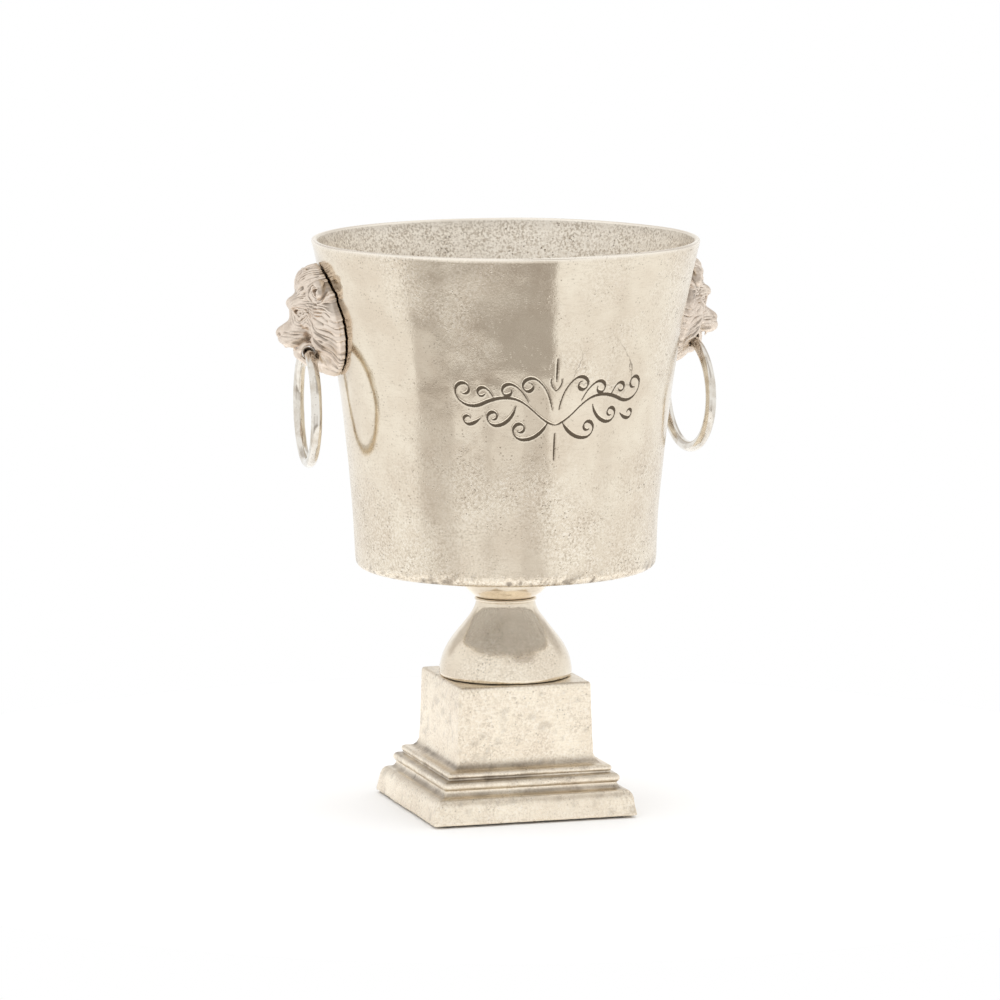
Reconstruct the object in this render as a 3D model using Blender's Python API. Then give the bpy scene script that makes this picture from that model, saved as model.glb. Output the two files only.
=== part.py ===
"""Champagne bucket on a pedestal: a flared cast bowl on a turned collar and bell-shaped stem, on a
stepped square plinth, with a lion head and a swinging ring on each side.

Run with: blender --background --python part.py
Units are metres, +Z is up, and the origin is the middle of the footprint, on the surface it stands on.
-X is the left ring, -Y is the front. One tie rod clamps plinth, stem, collar and bowl together.
"""

import math

import bmesh
import bpy
from mathutils import Matrix, Vector

MM = 0.001
FIT_GAP = 0.3 * MM  # between pieces that touch

# --- driving dimensions ------------------------------------------------------------------------
TOTAL_HEIGHT = 370 * MM
RIM_RADIUS = 125 * MM
BOWL_FLOOR_RADIUS = 96.8 * MM  # outside, at the underside of the bowl
BOWL_UNDERSIDE_Z = 157.5 * MM
BOWL_WALL = 3.4 * MM
BOWL_FLOOR = 4.5 * MM
FLARE_LINEAR = 7.5 * MM  # the wall leans out by this much in proportion to height
FLARE_CURVED = RIM_RADIUS - BOWL_FLOOR_RADIUS - FLARE_LINEAR  # and by this much with its square
BOWL_EDGE_RADIUS = 5 * MM  # rounding where the wall meets the underside

PLINTH_HALF = 68 * MM  # half of the footprint's side
PLINTH_TOP_Z = 86 * MM
DIE_HALF_TOP = 44 * MM  # the upright block of the plinth
DIE_HALF_FOOT = 45.3 * MM
DIE_FOOT_Z = 39 * MM
PLINTH_WALL = 4.5 * MM
PLINTH_CORNER_RADIUS = 1.6 * MM
PLINTH_TOP_THICKNESS = 5 * MM

STEM_BASE_RADIUS = 43 * MM
STEM_NECK_RADIUS = 19.2 * MM
STEM_TOP_Z = 137.2 * MM
COLLAR_RADIUS = 30.1 * MM  # where the cup meets the bowl
CUP_RADIUS = 20.7 * MM  # of the cup's curved side

FOOT_PAD_HEIGHT = 1.2 * MM
FOOT_PAD_RADIUS = 7 * MM
FOOT_PAD_OFFSET = 56 * MM  # from each centre plane to a pad's centre
LANDING_RADIUS = 8.6 * MM  # of the solid boss over each pad
LANDING_TOP_Z = 9 * MM

ROD_RADIUS = 4 * MM  # M8
ROD_HOLE_RADIUS = ROD_RADIUS + FIT_GAP
NUT_ACROSS_FLATS = 13 * MM
SCREW_RADIUS = 2 * MM  # M4
SCREW_HOLE_RADIUS = SCREW_RADIUS + FIT_GAP

HEAD_SETBACK = math.radians(6)  # the heads sit this far behind the bowl's side-to-side line
HEAD_Z = 319.5 * MM  # middle of a lion head
HEAD_BACK_GAP = 1.2 * MM  # between a head's hollow back and the wall
SCREW_SPACING = 32 * MM  # between the two screws of a head
BOSS_RADIUS = 4.6 * MM  # of the tapped bosses inside a head

RING_OUTER_RADIUS = 39 * MM
RING_TUBE_RADIUS = 3.5 * MM
RING_DISTANCE = 129 * MM  # from the bowl's axis
RING_PIVOT_Z = 299 * MM  # centre of the ring's rod where it lies in the jaw
MOUTH_CLEARANCE = 0.7 * MM

BOWL_FLOOR_TOP_Z = BOWL_UNDERSIDE_Z + BOWL_FLOOR
PLINTH_FOOT_Z = FOOT_PAD_HEIGHT + FIT_GAP
PLINTH_CEILING_Z = PLINTH_TOP_Z - PLINTH_TOP_THICKNESS

ROUND_SEGMENTS = 48
SMALL_SEGMENTS = 16


def bowl_outer_radius(z):
    """Outside radius of the bowl's wall at height z."""
    share = (z - BOWL_UNDERSIDE_Z) / (TOTAL_HEIGHT - BOWL_UNDERSIDE_Z)
    return BOWL_FLOOR_RADIUS + FLARE_LINEAR * share + FLARE_CURVED * share * share


def wall_lean(z):
    """How far the wall leans out from upright at height z."""
    height = TOTAL_HEIGHT - BOWL_UNDERSIDE_Z
    return math.atan((FLARE_LINEAR + 2 * FLARE_CURVED * (z - BOWL_UNDERSIDE_Z) / height) / height)


HEAD_LEAN = wall_lean(HEAD_Z)


# --- small modelling tools ---------------------------------------------------------------------
def clear_scene():
    for obj in list(bpy.data.objects):
        bpy.data.objects.remove(obj)


def metal(name, colour, roughness, metallic=1.0):
    material = bpy.data.materials.new(name)
    material.use_nodes = True
    shader = material.node_tree.nodes["Principled BSDF"]
    shader.inputs["Base Color"].default_value = (*colour, 1.0)
    shader.inputs["Roughness"].default_value = roughness
    shader.inputs["Metallic"].default_value = metallic
    material.diffuse_color = (*colour, 1.0)
    return material


def add_object(name, mesh, material=None, matrix=None):
    obj = bpy.data.objects.new(name, mesh)
    bpy.context.scene.collection.objects.link(obj)
    if material:
        mesh.materials.clear()
        mesh.materials.append(material)
    if matrix is not None:
        obj.matrix_world = matrix
    return obj


def finish_mesh(bm, name, smooth=True):
    bmesh.ops.remove_doubles(bm, verts=bm.verts, dist=1e-6)
    bmesh.ops.recalc_face_normals(bm, faces=bm.faces)
    mesh = bpy.data.meshes.new(name)
    bm.to_mesh(mesh)
    bm.free()
    if smooth:
        mesh.shade_smooth()
        mesh.set_sharp_from_angle(angle=math.radians(35))
    return mesh


def turned_mesh(name, outline, segments=ROUND_SEGMENTS):
    """A closed outline of (radius, height) points, turned round Z. Points on the axis close it there."""
    bm = bmesh.new()
    verts = [bm.verts.new((radius, 0, height)) for radius, height in outline]
    edges = [bm.edges.new((a, b)) for a, b in zip(verts, verts[1:])]
    if outline[0][0] > 0 or outline[-1][0] > 0:
        edges.append(bm.edges.new((verts[-1], verts[0])))
    bmesh.ops.spin(bm, geom=verts + edges, cent=(0, 0, 0), axis=(0, 0, 1), angle=math.tau,
                   steps=segments, use_merge=True)
    return finish_mesh(bm, name)


def rod_mesh(name, radius, low, high, segments=SMALL_SEGMENTS):
    return turned_mesh(name, [(0, low), (radius, low), (radius, high), (0, high)], segments)


def washer_mesh(name, inner, outer, thickness, segments=SMALL_SEGMENTS):
    outline = [(inner, 0), (outer, 0), (outer, thickness), (inner, thickness)]
    return turned_mesh(name, outline, segments)


def prism_mesh(name, across_flats, height, sides=6):
    bm = bmesh.new()
    radius = across_flats / 2 / math.cos(math.pi / sides)
    angles = [math.tau * i / sides for i in range(sides)]
    face = bm.faces.new([bm.verts.new((radius * math.cos(a), radius * math.sin(a), 0)) for a in angles])
    top = bmesh.ops.extrude_face_region(bm, geom=[face])
    moved = [item for item in top["geom"] if isinstance(item, bmesh.types.BMVert)]
    bmesh.ops.translate(bm, verts=moved, vec=(0, 0, height))
    return finish_mesh(bm, name, smooth=False)


def block_mesh(name, length, width, height):
    """A box centred on the origin, with its sides along X, Y and Z."""
    bm = bmesh.new()
    bmesh.ops.create_cube(bm, size=1, matrix=Matrix.Diagonal((length, width, height, 1)))
    return finish_mesh(bm, name, smooth=False)


def helper(name, mesh, matrix=None):
    """An object used only to shape another one."""
    obj = add_object(name, mesh, matrix=matrix)
    obj.hide_render = True
    obj.display_type = "WIRE"
    return obj


def boolean(obj, other, operation="DIFFERENCE"):
    modifier = obj.modifiers.new(f"{operation.lower()} {other.name}", "BOOLEAN")
    modifier.object = other
    modifier.operation = operation
    modifier.solver = "EXACT"


def applied_mesh(obj, name):
    """The object's mesh with its modifiers applied."""
    bpy.context.view_layer.update()
    graph = bpy.context.evaluated_depsgraph_get()
    mesh = bpy.data.meshes.new_from_object(obj.evaluated_get(graph))
    mesh.name = name
    return mesh


def arc(centre, radius, start_deg, end_deg, steps):
    """Points of an arc, as (radius, height) pairs about centre."""
    angles = [math.radians(start_deg + (end_deg - start_deg) * i / steps) for i in range(steps + 1)]
    return [(centre[0] + radius * math.cos(a), centre[1] + radius * math.sin(a)) for a in angles]


# --- where a head, its screws and its ring sit ----------------------------------------------------
def outward(side):
    """Level unit vector from the bowl's axis to the head on that side; side is -1 left, +1 right."""
    return Vector((side * math.cos(HEAD_SETBACK), math.sin(HEAD_SETBACK), 0))


def head_frame(side):
    """Matrix of a head: its local X points out of the wall, Z runs up the wall, Y runs along it."""
    level = outward(side)
    x_axis = level * math.cos(HEAD_LEAN) - Vector((0, 0, math.sin(HEAD_LEAN)))
    z_axis = level * math.sin(HEAD_LEAN) + Vector((0, 0, math.cos(HEAD_LEAN)))
    y_axis = z_axis.cross(x_axis)
    centre = level * bowl_outer_radius(HEAD_Z) + Vector((0, 0, HEAD_Z))
    matrix = Matrix((x_axis, y_axis, z_axis)).transposed().to_4x4()
    matrix.translation = centre
    return matrix


def in_head(out_mm, side_mm, up_mm):
    """A point in a head's own frame, given in millimetres: out of the wall, sideways, up the wall."""
    return Vector((out_mm, side_mm, up_mm)) * MM


def pivot_in_head():
    """Where a ring's swing axis crosses the head's middle plane, in the head's own frame."""
    world = outward(1) * RING_DISTANCE + Vector((0, 0, RING_PIVOT_Z))
    return head_frame(1).inverted() @ world


# --- the bowl ------------------------------------------------------------------------------------
def bowl_outline(offset, floor_z, top_z, steps=9):
    """The wall's outline from floor to top, moved out by offset: (radius, height) pairs going up."""
    heights = [floor_z + (top_z - floor_z) * i / steps for i in range(steps + 1)]
    return [(bowl_outer_radius(z) + offset, z) for z in heights]


def build_bowl(material):
    lip = BOWL_WALL / 2
    lip_centre = (bowl_outer_radius(TOTAL_HEIGHT - lip) - lip, TOTAL_HEIGHT - lip)
    edge_centre = (BOWL_FLOOR_RADIUS - BOWL_EDGE_RADIUS, BOWL_UNDERSIDE_Z + BOWL_EDGE_RADIUS)
    cove = 5 * MM  # inside rounding between floor and wall
    cove_top = BOWL_FLOOR_TOP_Z + cove
    cove_centre = (bowl_outer_radius(cove_top) - BOWL_WALL - cove, cove_top)
    wall_top = TOTAL_HEIGHT - lip
    outline = [(ROD_HOLE_RADIUS, BOWL_UNDERSIDE_Z)]
    outline += arc(edge_centre, BOWL_EDGE_RADIUS, -90, 0, 3)
    outline += bowl_outline(0, BOWL_UNDERSIDE_Z + 2 * BOWL_EDGE_RADIUS, wall_top)[:-1]
    outline += arc(lip_centre, lip, 0, 180, 6)
    outline += reversed(bowl_outline(-BOWL_WALL, cove_top, wall_top)[1:-1])
    outline += arc(cove_centre, cove, 0, -90, 3)
    outline += [(ROD_HOLE_RADIUS, BOWL_FLOOR_TOP_Z)]
    bowl = add_object("bowl", turned_mesh("bowl", outline), material)
    for side, side_name in ((-1, "left"), (1, "right")):
        for up, up_name in ((1, "upper"), (-1, "lower")):
            drill = rod_mesh("drill", SCREW_HOLE_RADIUS, -2 * BOWL_WALL, 2 * BOWL_WALL)
            boolean(bowl, helper(f"drill_{side_name}_{up_name}", drill, screw_frame(side, up)))
    return bowl


# --- collar, stem and plinth ----------------------------------------------------------------------
def build_collar(material):
    """A turned knop: a rounded cup that carries the bowl, with a socket for the stem's spigot."""
    foot_z = STEM_TOP_Z + FIT_GAP
    top_z = BOWL_UNDERSIDE_Z - FIT_GAP
    centre = (COLLAR_RADIUS - CUP_RADIUS, top_z - 1.6 * MM)
    start = -math.degrees(math.asin((centre[1] - foot_z) / CUP_RADIUS))
    socket_radius, socket_depth = 10.3 * MM, 2.6 * MM
    outline = [(socket_radius, foot_z)]
    outline += arc(centre, CUP_RADIUS, start, 4, 8)
    outline += [(ROD_HOLE_RADIUS, top_z)]
    outline += [(ROD_HOLE_RADIUS, foot_z + socket_depth), (socket_radius, foot_z + socket_depth)]
    return add_object("collar", turned_mesh("collar", outline, 32), material)


def stem_outline_radius(share):
    """Radius of the bell at a share of its height: full and rounded low down, waisted at the neck."""
    swell = 0.5 + 0.5 * math.cos(math.pi * share ** 1.22)
    return STEM_NECK_RADIUS + (STEM_BASE_RADIUS - STEM_NECK_RADIUS) * swell ** 0.86


def build_stem(material):
    """The bell: a thick casting with a cored recess below, and a bead and a centring spigot on top."""
    base_z = PLINTH_TOP_Z + FIT_GAP
    bead = 1.2 * MM
    neck_z = STEM_TOP_Z - 2 * bead
    spigot_radius, spigot_height = 10 * MM, 2 * MM
    recess_radius, recess_depth, recess_draft = 16 * MM, 30 * MM, 3 * MM
    steps = 13
    shares = [i / steps for i in range(steps + 1)]
    profile = [(stem_outline_radius(share), base_z + (neck_z - base_z) * share) for share in shares]
    outline = [(recess_radius, base_z), (STEM_BASE_RADIUS - 1 * MM, base_z)] + profile[1:]
    outline += arc((STEM_NECK_RADIUS - 0.3 * MM, STEM_TOP_Z - bead), bead, -80, 90, 4)
    spigot_z = STEM_TOP_Z + spigot_height
    outline += [(spigot_radius, STEM_TOP_Z), (spigot_radius, spigot_z), (ROD_HOLE_RADIUS, spigot_z)]
    recess_top = base_z + recess_depth
    outline += [(ROD_HOLE_RADIUS, recess_top), (recess_radius - recess_draft, recess_top)]
    return add_object("stem", turned_mesh("stem", outline, 36), material)


def plinth_outline():
    """Half-side and height of the plinth's outside, from the foot up to the top of the die."""
    outline = [(PLINTH_HALF - 0.4 * MM, PLINTH_FOOT_Z), (PLINTH_HALF, PLINTH_FOOT_Z + 0.8 * MM)]
    outline += [(66.9 * MM, 8 * MM), (66.1 * MM, 13 * MM)]  # foot
    outline += [(64.4 * MM, 16.4 * MM), (63 * MM, 17.8 * MM)]  # its rounded shoulder
    outline += [(60.6 * MM, 18.3 * MM), (58.5 * MM, 19.6 * MM), (57.4 * MM, 21.8 * MM)]  # hollow
    outline += arc((56 * MM, 25 * MM), 3 * MM, -62, 80, 5)  # lower bead
    outline += [(54 * MM, 28.6 * MM)]
    outline += arc((52.6 * MM, 31 * MM), 2.2 * MM, -55, 80, 4)  # upper bead
    outline += [(49.4 * MM, 33.6 * MM), (47.2 * MM, 35 * MM), (46.2 * MM, 36.8 * MM)]  # hollow
    outline += [(DIE_HALF_FOOT, DIE_FOOT_Z)]
    outline += [(DIE_HALF_TOP, PLINTH_TOP_Z - 0.6 * MM), (DIE_HALF_TOP - 0.6 * MM, PLINTH_TOP_Z)]
    return outline


def square_loop(bm, half, z, corner):
    """A ring of vertices round a square with rounded corners."""
    steps = 3
    verts = []
    for quarter in range(4):
        turn = Matrix.Rotation(quarter * math.pi / 2, 3, "Z")
        for i in range(steps + 1):
            a = math.pi / 2 * i / steps
            point = Vector((half - corner + corner * math.cos(a), half - corner + corner * math.sin(a), z))
            verts.append(bm.verts.new(turn @ point))
    return verts


def join_loops(bm, first, second):
    """A band of four-sided faces between two loops with the same number of vertices."""
    for i in range(len(first)):
        j = (i + 1) % len(first)
        bm.faces.new((first[i], first[j], second[j], second[i]))


def build_plinth(material):
    """A hollow casting: stepped foot, upright die, open below, with a landing for each foot pad."""
    bm = bmesh.new()
    outside = plinth_outline()
    die_inside = DIE_HALF_TOP - PLINTH_WALL
    foot_inside = PLINTH_HALF - PLINTH_WALL
    inside = [(die_inside, PLINTH_CEILING_Z), (die_inside + 1 * MM, DIE_FOOT_Z), (52 * MM, 20 * MM),
              (foot_inside - 1.5 * MM, 11 * MM), (foot_inside, PLINTH_FOOT_Z)]
    loops = [square_loop(bm, half, z, PLINTH_CORNER_RADIUS) for half, z in outside + inside]
    top = len(outside) - 1
    for i, loop in enumerate(loops):
        if i != top:
            join_loops(bm, loop, loops[(i + 1) % len(loops)])
    bm.faces.new(loops[top])
    bm.faces.new(loops[top + 1])
    plinth = add_object("plinth", finish_mesh(bm, "plinth", smooth=False), material)
    landing = rod_mesh("landing", LANDING_RADIUS, PLINTH_FOOT_Z, LANDING_TOP_Z)
    for x in (-1, 1):
        for y in (-1, 1):
            matrix = Matrix.Translation((x * FOOT_PAD_OFFSET, y * FOOT_PAD_OFFSET, 0))
            boolean(plinth, helper(f"landing_{x}_{y}", landing, matrix), "UNION")
    drill = rod_mesh("rod_drill", ROD_HOLE_RADIUS, PLINTH_CEILING_Z - 5 * MM, PLINTH_TOP_Z + 5 * MM)
    boolean(plinth, helper("rod_drill", drill))
    return plinth


def build_foot_pads(material):
    pad = rod_mesh("foot_pad", FOOT_PAD_RADIUS, 0, FOOT_PAD_HEIGHT)
    for x, x_name in ((-1, "left"), (1, "right")):
        for y, y_name in ((-1, "front"), (1, "rear")):
            place = Matrix.Translation((x * FOOT_PAD_OFFSET, y * FOOT_PAD_OFFSET, 0))
            add_object(f"foot_pad_{y_name}_{x_name}", pad, material, place)


# --- the tie rod and what clamps it -----------------------------------------------------------------
def stacked(name, mesh, z, material):
    """Adds a piece that sits on the tie rod, with its own base at height z."""
    return add_object(name, mesh, material, Matrix.Translation((0, 0, z)))


def dome_nut_shape(nut, hex_height):
    """Rounds the top of the hexagon into a dome and bores its blind thread."""
    dome_radius, bore_depth = 5.9 * MM, 8.3 * MM
    outline = [(0, 1 * MM), (dome_radius, 1 * MM)]
    outline += arc((0, hex_height), dome_radius, 0, 80, 5) + [(0, hex_height + dome_radius)]
    dome = turned_mesh("nut_dome", outline, SMALL_SEGMENTS)
    boolean(nut, helper("nut_dome", dome, nut.matrix_world), "UNION")
    bore = rod_mesh("nut_bore", ROD_HOLE_RADIUS, -1 * MM, bore_depth)
    boolean(nut, helper("nut_bore", bore, nut.matrix_world))


def build_upper_clamp(steel, rubber):
    """Rubber seal, steel washer and dome nut inside the bowl. Returns the height of the nut's base."""
    seal_radius, seal_height = 12 * MM, 1.5 * MM
    washer_radius, washer_height = 10.5 * MM, 1.4 * MM
    hex_height = 6.5 * MM
    seal_z = BOWL_FLOOR_TOP_Z + FIT_GAP
    washer_z = seal_z + seal_height + FIT_GAP
    nut_z = washer_z + washer_height + FIT_GAP
    stacked("bowl_seal", washer_mesh("bowl_seal", ROD_HOLE_RADIUS, seal_radius, seal_height), seal_z, rubber)
    washer = washer_mesh("bowl_washer", ROD_HOLE_RADIUS, washer_radius, washer_height)
    stacked("bowl_washer", washer, washer_z, steel)
    nut = stacked("dome_nut", prism_mesh("dome_nut", NUT_ACROSS_FLATS, hex_height), nut_z, steel)
    dome_nut_shape(nut, hex_height)
    return nut_z


def build_lower_clamp(steel):
    """Wide washer, split lock washer and nut under the plinth's top. Returns the height of the nut's base."""
    wide_radius, wide_height = 12 * MM, 1.6 * MM
    spring_radius, spring_height, split_width = 7 * MM, 2 * MM, 1.2 * MM
    nut_height = 6.5 * MM
    wide_z = PLINTH_CEILING_Z - FIT_GAP - wide_height
    spring_z = wide_z - FIT_GAP - spring_height
    nut_z = spring_z - FIT_GAP - nut_height
    washer = washer_mesh("plinth_washer", ROD_HOLE_RADIUS, wide_radius, wide_height)
    stacked("plinth_washer", washer, wide_z, steel)

    spring = washer_mesh("lock_washer", ROD_HOLE_RADIUS, spring_radius, spring_height)
    spring = stacked("lock_washer", spring, spring_z, steel)
    middle = ((ROD_HOLE_RADIUS + spring_radius) / 2, 0, spring_z + spring_height / 2)
    split = block_mesh("split", 5 * MM, split_width, 3 * spring_height)
    boolean(spring, helper("split", split, Matrix.Translation(middle)))

    nut = stacked("hex_nut", prism_mesh("hex_nut", NUT_ACROSS_FLATS, nut_height), nut_z, steel)
    bore = rod_mesh("hex_bore", ROD_HOLE_RADIUS, -1 * MM, 2 * nut_height)
    boolean(nut, helper("hex_bore", bore, nut.matrix_world))
    return nut_z


def build_tie_rod(steel, lower_nut_z, upper_nut_z):
    """The threaded rod, from just under the lower nut to inside the dome nut, chamfered at both ends."""
    foot, top, chamfer = lower_nut_z - 4 * MM, upper_nut_z + 8 * MM, 0.8 * MM
    outline = [(0, foot), (ROD_RADIUS - chamfer, foot), (ROD_RADIUS, foot + chamfer)]
    outline += [(ROD_RADIUS, top - chamfer), (ROD_RADIUS - chamfer, top), (0, top)]
    add_object("tie_rod", turned_mesh("tie_rod", outline, SMALL_SEGMENTS), steel)


# --- lion heads ---------------------------------------------------------------------------------------
def screw_in_head(up):
    """Matrix of a screw in its head's frame: local Z points out of the wall, with the origin on it."""
    return Matrix.Translation((0, 0, up * SCREW_SPACING / 2)) @ Matrix.Rotation(math.pi / 2, 4, "Y")


def screw_frame(side, up):
    """Matrix of a screw of the head on that side; up is 1 for the upper screw, -1 for the lower."""
    return head_frame(side) @ screw_in_head(up)


# Each mass of the head: centre and half-sizes in the head's frame, in millimetres (out, side, up).
# A side above zero is repeated on the other side.
HEAD_MASSES = {
    "mane": ((1, 0, 1), (11, 32, 35.5)),
    "skull": ((9, 0, 9), (14, 20, 22)),
    "forehead": ((13, 0, 20), (8.5, 14, 12)),
    "brow": ((18.5, 7, 15.5), (5, 6, 3.8)),
    "nose_bridge": ((25, 0, 7), (8, 5.2, 8)),
    "nose_tip": ((31.6, 0, 2.6), (3.7, 4.8, 3.3)),
    "muzzle": ((21, 0, -2.5), (12, 10, 8)),
    "whisker_pad": ((27, 5, -4.2), (7.6, 6, 5.6)),
    "cheek": ((11, 16, -3), (8, 9, 12)),
    "jaw": ((11, 0, -17), (9, 11, 8)),
    "chin": ((20.4, 0, -18.4), (6.4, 8.5, 6.6)),
    "ear": ((8, 21, 24), (5.5, 7, 7)),
    "beard": ((4, 0, -25), (8, 17, 9.5)),
}


def ellipsoid(bm, centre, half_sizes):
    matrix = Matrix.Translation(centre) @ Matrix.Diagonal((*half_sizes, 1))
    bmesh.ops.create_icosphere(bm, subdivisions=3, radius=1, matrix=matrix)


def head_form():
    """The masses melted into one skin."""
    bm = bmesh.new()
    for centre, half_sizes in HEAD_MASSES.values():
        for side in ((1, -1) if centre[1] else (1,)):
            mirrored = in_head(centre[0], side * centre[1], centre[2])
            ellipsoid(bm, mirrored, in_head(*half_sizes))
    mesh = bpy.data.meshes.new("head_form")
    bm.to_mesh(mesh)
    bm.free()
    form = helper("head_form", mesh)
    remesh = form.modifiers.new("melt together", "REMESH")
    remesh.mode = "VOXEL"
    remesh.voxel_size = 1.3 * MM
    smooth = form.modifiers.new("soften", "SMOOTH")
    smooth.factor = 0.5
    smooth.iterations = 3
    decimate = form.modifiers.new("fewer faces", "DECIMATE")
    decimate.ratio = 0.085
    return helper("head_skin", applied_mesh(form, "head_skin"))


def ring_passage():
    """The hole through the jaw: an hourglass that leaves room for the curved rod at any swing."""
    mean_radius = RING_OUTER_RADIUS - RING_TUBE_RADIUS
    half_length, steps = 16 * MM, 8
    outline = [(0, -half_length)]
    for i in range(steps + 1):
        along = -half_length + 2 * half_length * i / steps
        sag = mean_radius - math.sqrt(mean_radius ** 2 - along ** 2)
        outline.append((RING_TUBE_RADIUS + MOUTH_CLEARANCE + sag, along))
    outline.append((0, half_length))
    matrix = Matrix.Translation(pivot_in_head()) @ Matrix.Rotation(math.pi / 2, 4, "X")
    return helper("ring_passage", turned_mesh("ring_passage", outline, SMALL_SEGMENTS), matrix)


def wall_cutter(name, gap):
    """A solid filling the bowl, wall and all, and reaching gap beyond it, placed in a head's frame."""
    low_z, high_z = 250 * MM, 390 * MM
    outline = [(0, low_z)] + bowl_outline(gap, low_z, high_z, 10) + [(0, high_z)]
    return helper(name, turned_mesh(name, outline, 2 * ROUND_SEGMENTS), head_frame(1).inverted())


def head_cavity():
    """The hollow behind the face."""
    bm = bmesh.new()
    ellipsoid(bm, in_head(-4, 0, 0), in_head(13, 18, 18))
    return helper("head_cavity", finish_mesh(bm, "head_cavity"))


def build_heads(material):
    """Hollow-backed heads, cut to the wall's curve, each with a hole for its ring and two tapped bosses."""
    head = head_form()
    for cutter in (wall_cutter("wall_and_gap", HEAD_BACK_GAP), head_cavity(), ring_passage()):
        boolean(head, cutter)
    hollow = helper("head_hollow", applied_mesh(head, "head_hollow"))

    boss_top, tapping_top = 12.5 * MM, 8.3 * MM
    near_wall = wall_cutter("wall_only", FIT_GAP)
    for up in (1, -1):
        boss = helper(f"boss_{up}", rod_mesh("boss", BOSS_RADIUS, -2 * MM, boss_top), screw_in_head(up))
        boolean(boss, near_wall)
        boolean(hollow, boss, "UNION")
        tapping = rod_mesh("tapping", SCREW_HOLE_RADIUS, -4 * MM, tapping_top)
        boolean(hollow, helper(f"tapping_{up}", tapping, screw_in_head(up)))
    mesh = applied_mesh(hollow, "lion_head")
    mesh.materials.clear()
    for side, name in ((-1, "left"), (1, "right")):
        add_object(f"lion_head_{name}", mesh, material, head_frame(side))


def pan_head_screw(head_top):
    """A cross-slotted pan-head screw along Z, with the underside of its head at height head_top."""
    radius, height, tip = 4 * MM, 2.4 * MM, 8 * MM
    outline = [(0, head_top - height), (radius * 0.6, head_top - height)]
    outline += [(radius * 0.9, head_top - height * 0.7), (radius, head_top - height * 0.3)]
    outline += [(radius, head_top), (SCREW_RADIUS, head_top), (SCREW_RADIUS, tip - 0.8 * MM), (0, tip)]
    blank = helper("screw_blank", turned_mesh("head_screw", outline, SMALL_SEGMENTS))
    slot_depth, slot_width, slot_length = 1.2 * MM, 1 * MM, 4 * MM
    slot = block_mesh("slot", slot_length, slot_width, 2 * slot_depth)
    for turn in (0, math.pi / 2):
        place = Matrix.Translation((0, 0, head_top - height)) @ Matrix.Rotation(turn, 4, "Z")
        boolean(blank, helper(f"slot_{round(math.degrees(turn))}", slot, place))
    return applied_mesh(blank, "head_screw")


def build_head_fixings(steel, rubber):
    """Two screws for each head, put in from inside the bowl, each over a rubber seal."""
    seal_radius, seal_height = 5 * MM, 1.2 * MM
    seal_low = -(BOWL_WALL + FIT_GAP) - seal_height
    screw = pan_head_screw(seal_low - FIT_GAP)
    seal = washer_mesh("head_seal", SCREW_HOLE_RADIUS, seal_radius, seal_height)
    for side, side_name in ((-1, "left"), (1, "right")):
        for up, up_name in ((1, "upper"), (-1, "lower")):
            place = screw_frame(side, up)
            add_object(f"head_screw_{side_name}_{up_name}", screw, steel, place)
            seat = place @ Matrix.Translation((0, 0, seal_low))
            add_object(f"head_seal_{side_name}_{up_name}", seal, rubber, seat)


# --- rings -----------------------------------------------------------------------------------------------
def build_rings(material):
    """Each ring hangs from its own empty, which lies on the swing axis in the lion's jaw."""
    mean_radius = RING_OUTER_RADIUS - RING_TUBE_RADIUS
    bm = bmesh.new()
    around, across = 36, 8
    loops = []
    for i in range(around):
        a = math.tau * i / around
        loop = []
        for j in range(across):
            b = math.tau * j / across
            reach = mean_radius + RING_TUBE_RADIUS * math.cos(b)
            point = (RING_TUBE_RADIUS * math.sin(b), reach * math.sin(a), reach * math.cos(a) - mean_radius)
            loop.append(bm.verts.new(point))
        loops.append(loop)
    for i in range(around):
        join_loops(bm, loops[i], loops[(i + 1) % around])
    ring_mesh = finish_mesh(bm, "ring")
    for side, name in ((-1, "left"), (1, "right")):
        pivot = bpy.data.objects.new(f"ring_pivot_{name}", None)
        bpy.context.scene.collection.objects.link(pivot)
        pivot.location = outward(side) * RING_DISTANCE + Vector((0, 0, RING_PIVOT_Z))
        pivot.rotation_euler = (0, 0, math.atan2(outward(side).y, outward(side).x))
        ring = add_object(f"ring_{name}", ring_mesh, material)
        ring.parent = pivot


def main():
    clear_scene()
    cast = metal("cast_nickel", (0.72, 0.67, 0.58), 0.38)
    cast_head = metal("cast_head_nickel", (0.60, 0.55, 0.48), 0.48)
    polished = metal("polished_nickel", (0.80, 0.76, 0.68), 0.15)
    steel = metal("plated_steel", (0.62, 0.61, 0.58), 0.3)
    rubber = metal("black_rubber", (0.03, 0.03, 0.03), 0.8, metallic=0.0)
    build_bowl(cast)
    build_collar(cast)
    build_stem(cast)
    build_plinth(cast)
    build_foot_pads(rubber)
    upper_nut_z = build_upper_clamp(steel, rubber)
    lower_nut_z = build_lower_clamp(steel)
    build_tie_rod(steel, lower_nut_z, upper_nut_z)
    build_heads(cast_head)
    build_head_fixings(steel, rubber)
    build_rings(polished)


main()
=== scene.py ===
"""Looks of the champagne bucket: cast, nickel-plated metal with lion heads, swinging rings and an
engraved scroll ornament. Places are in metres in the CAD frame, and in millimetres where a comment says
so: +Z is up, -Y the decorated front, and -X the side of the left ring."""

import math

import bmesh
import bpy
import numpy as np
from mathutils import Matrix, Vector


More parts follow.
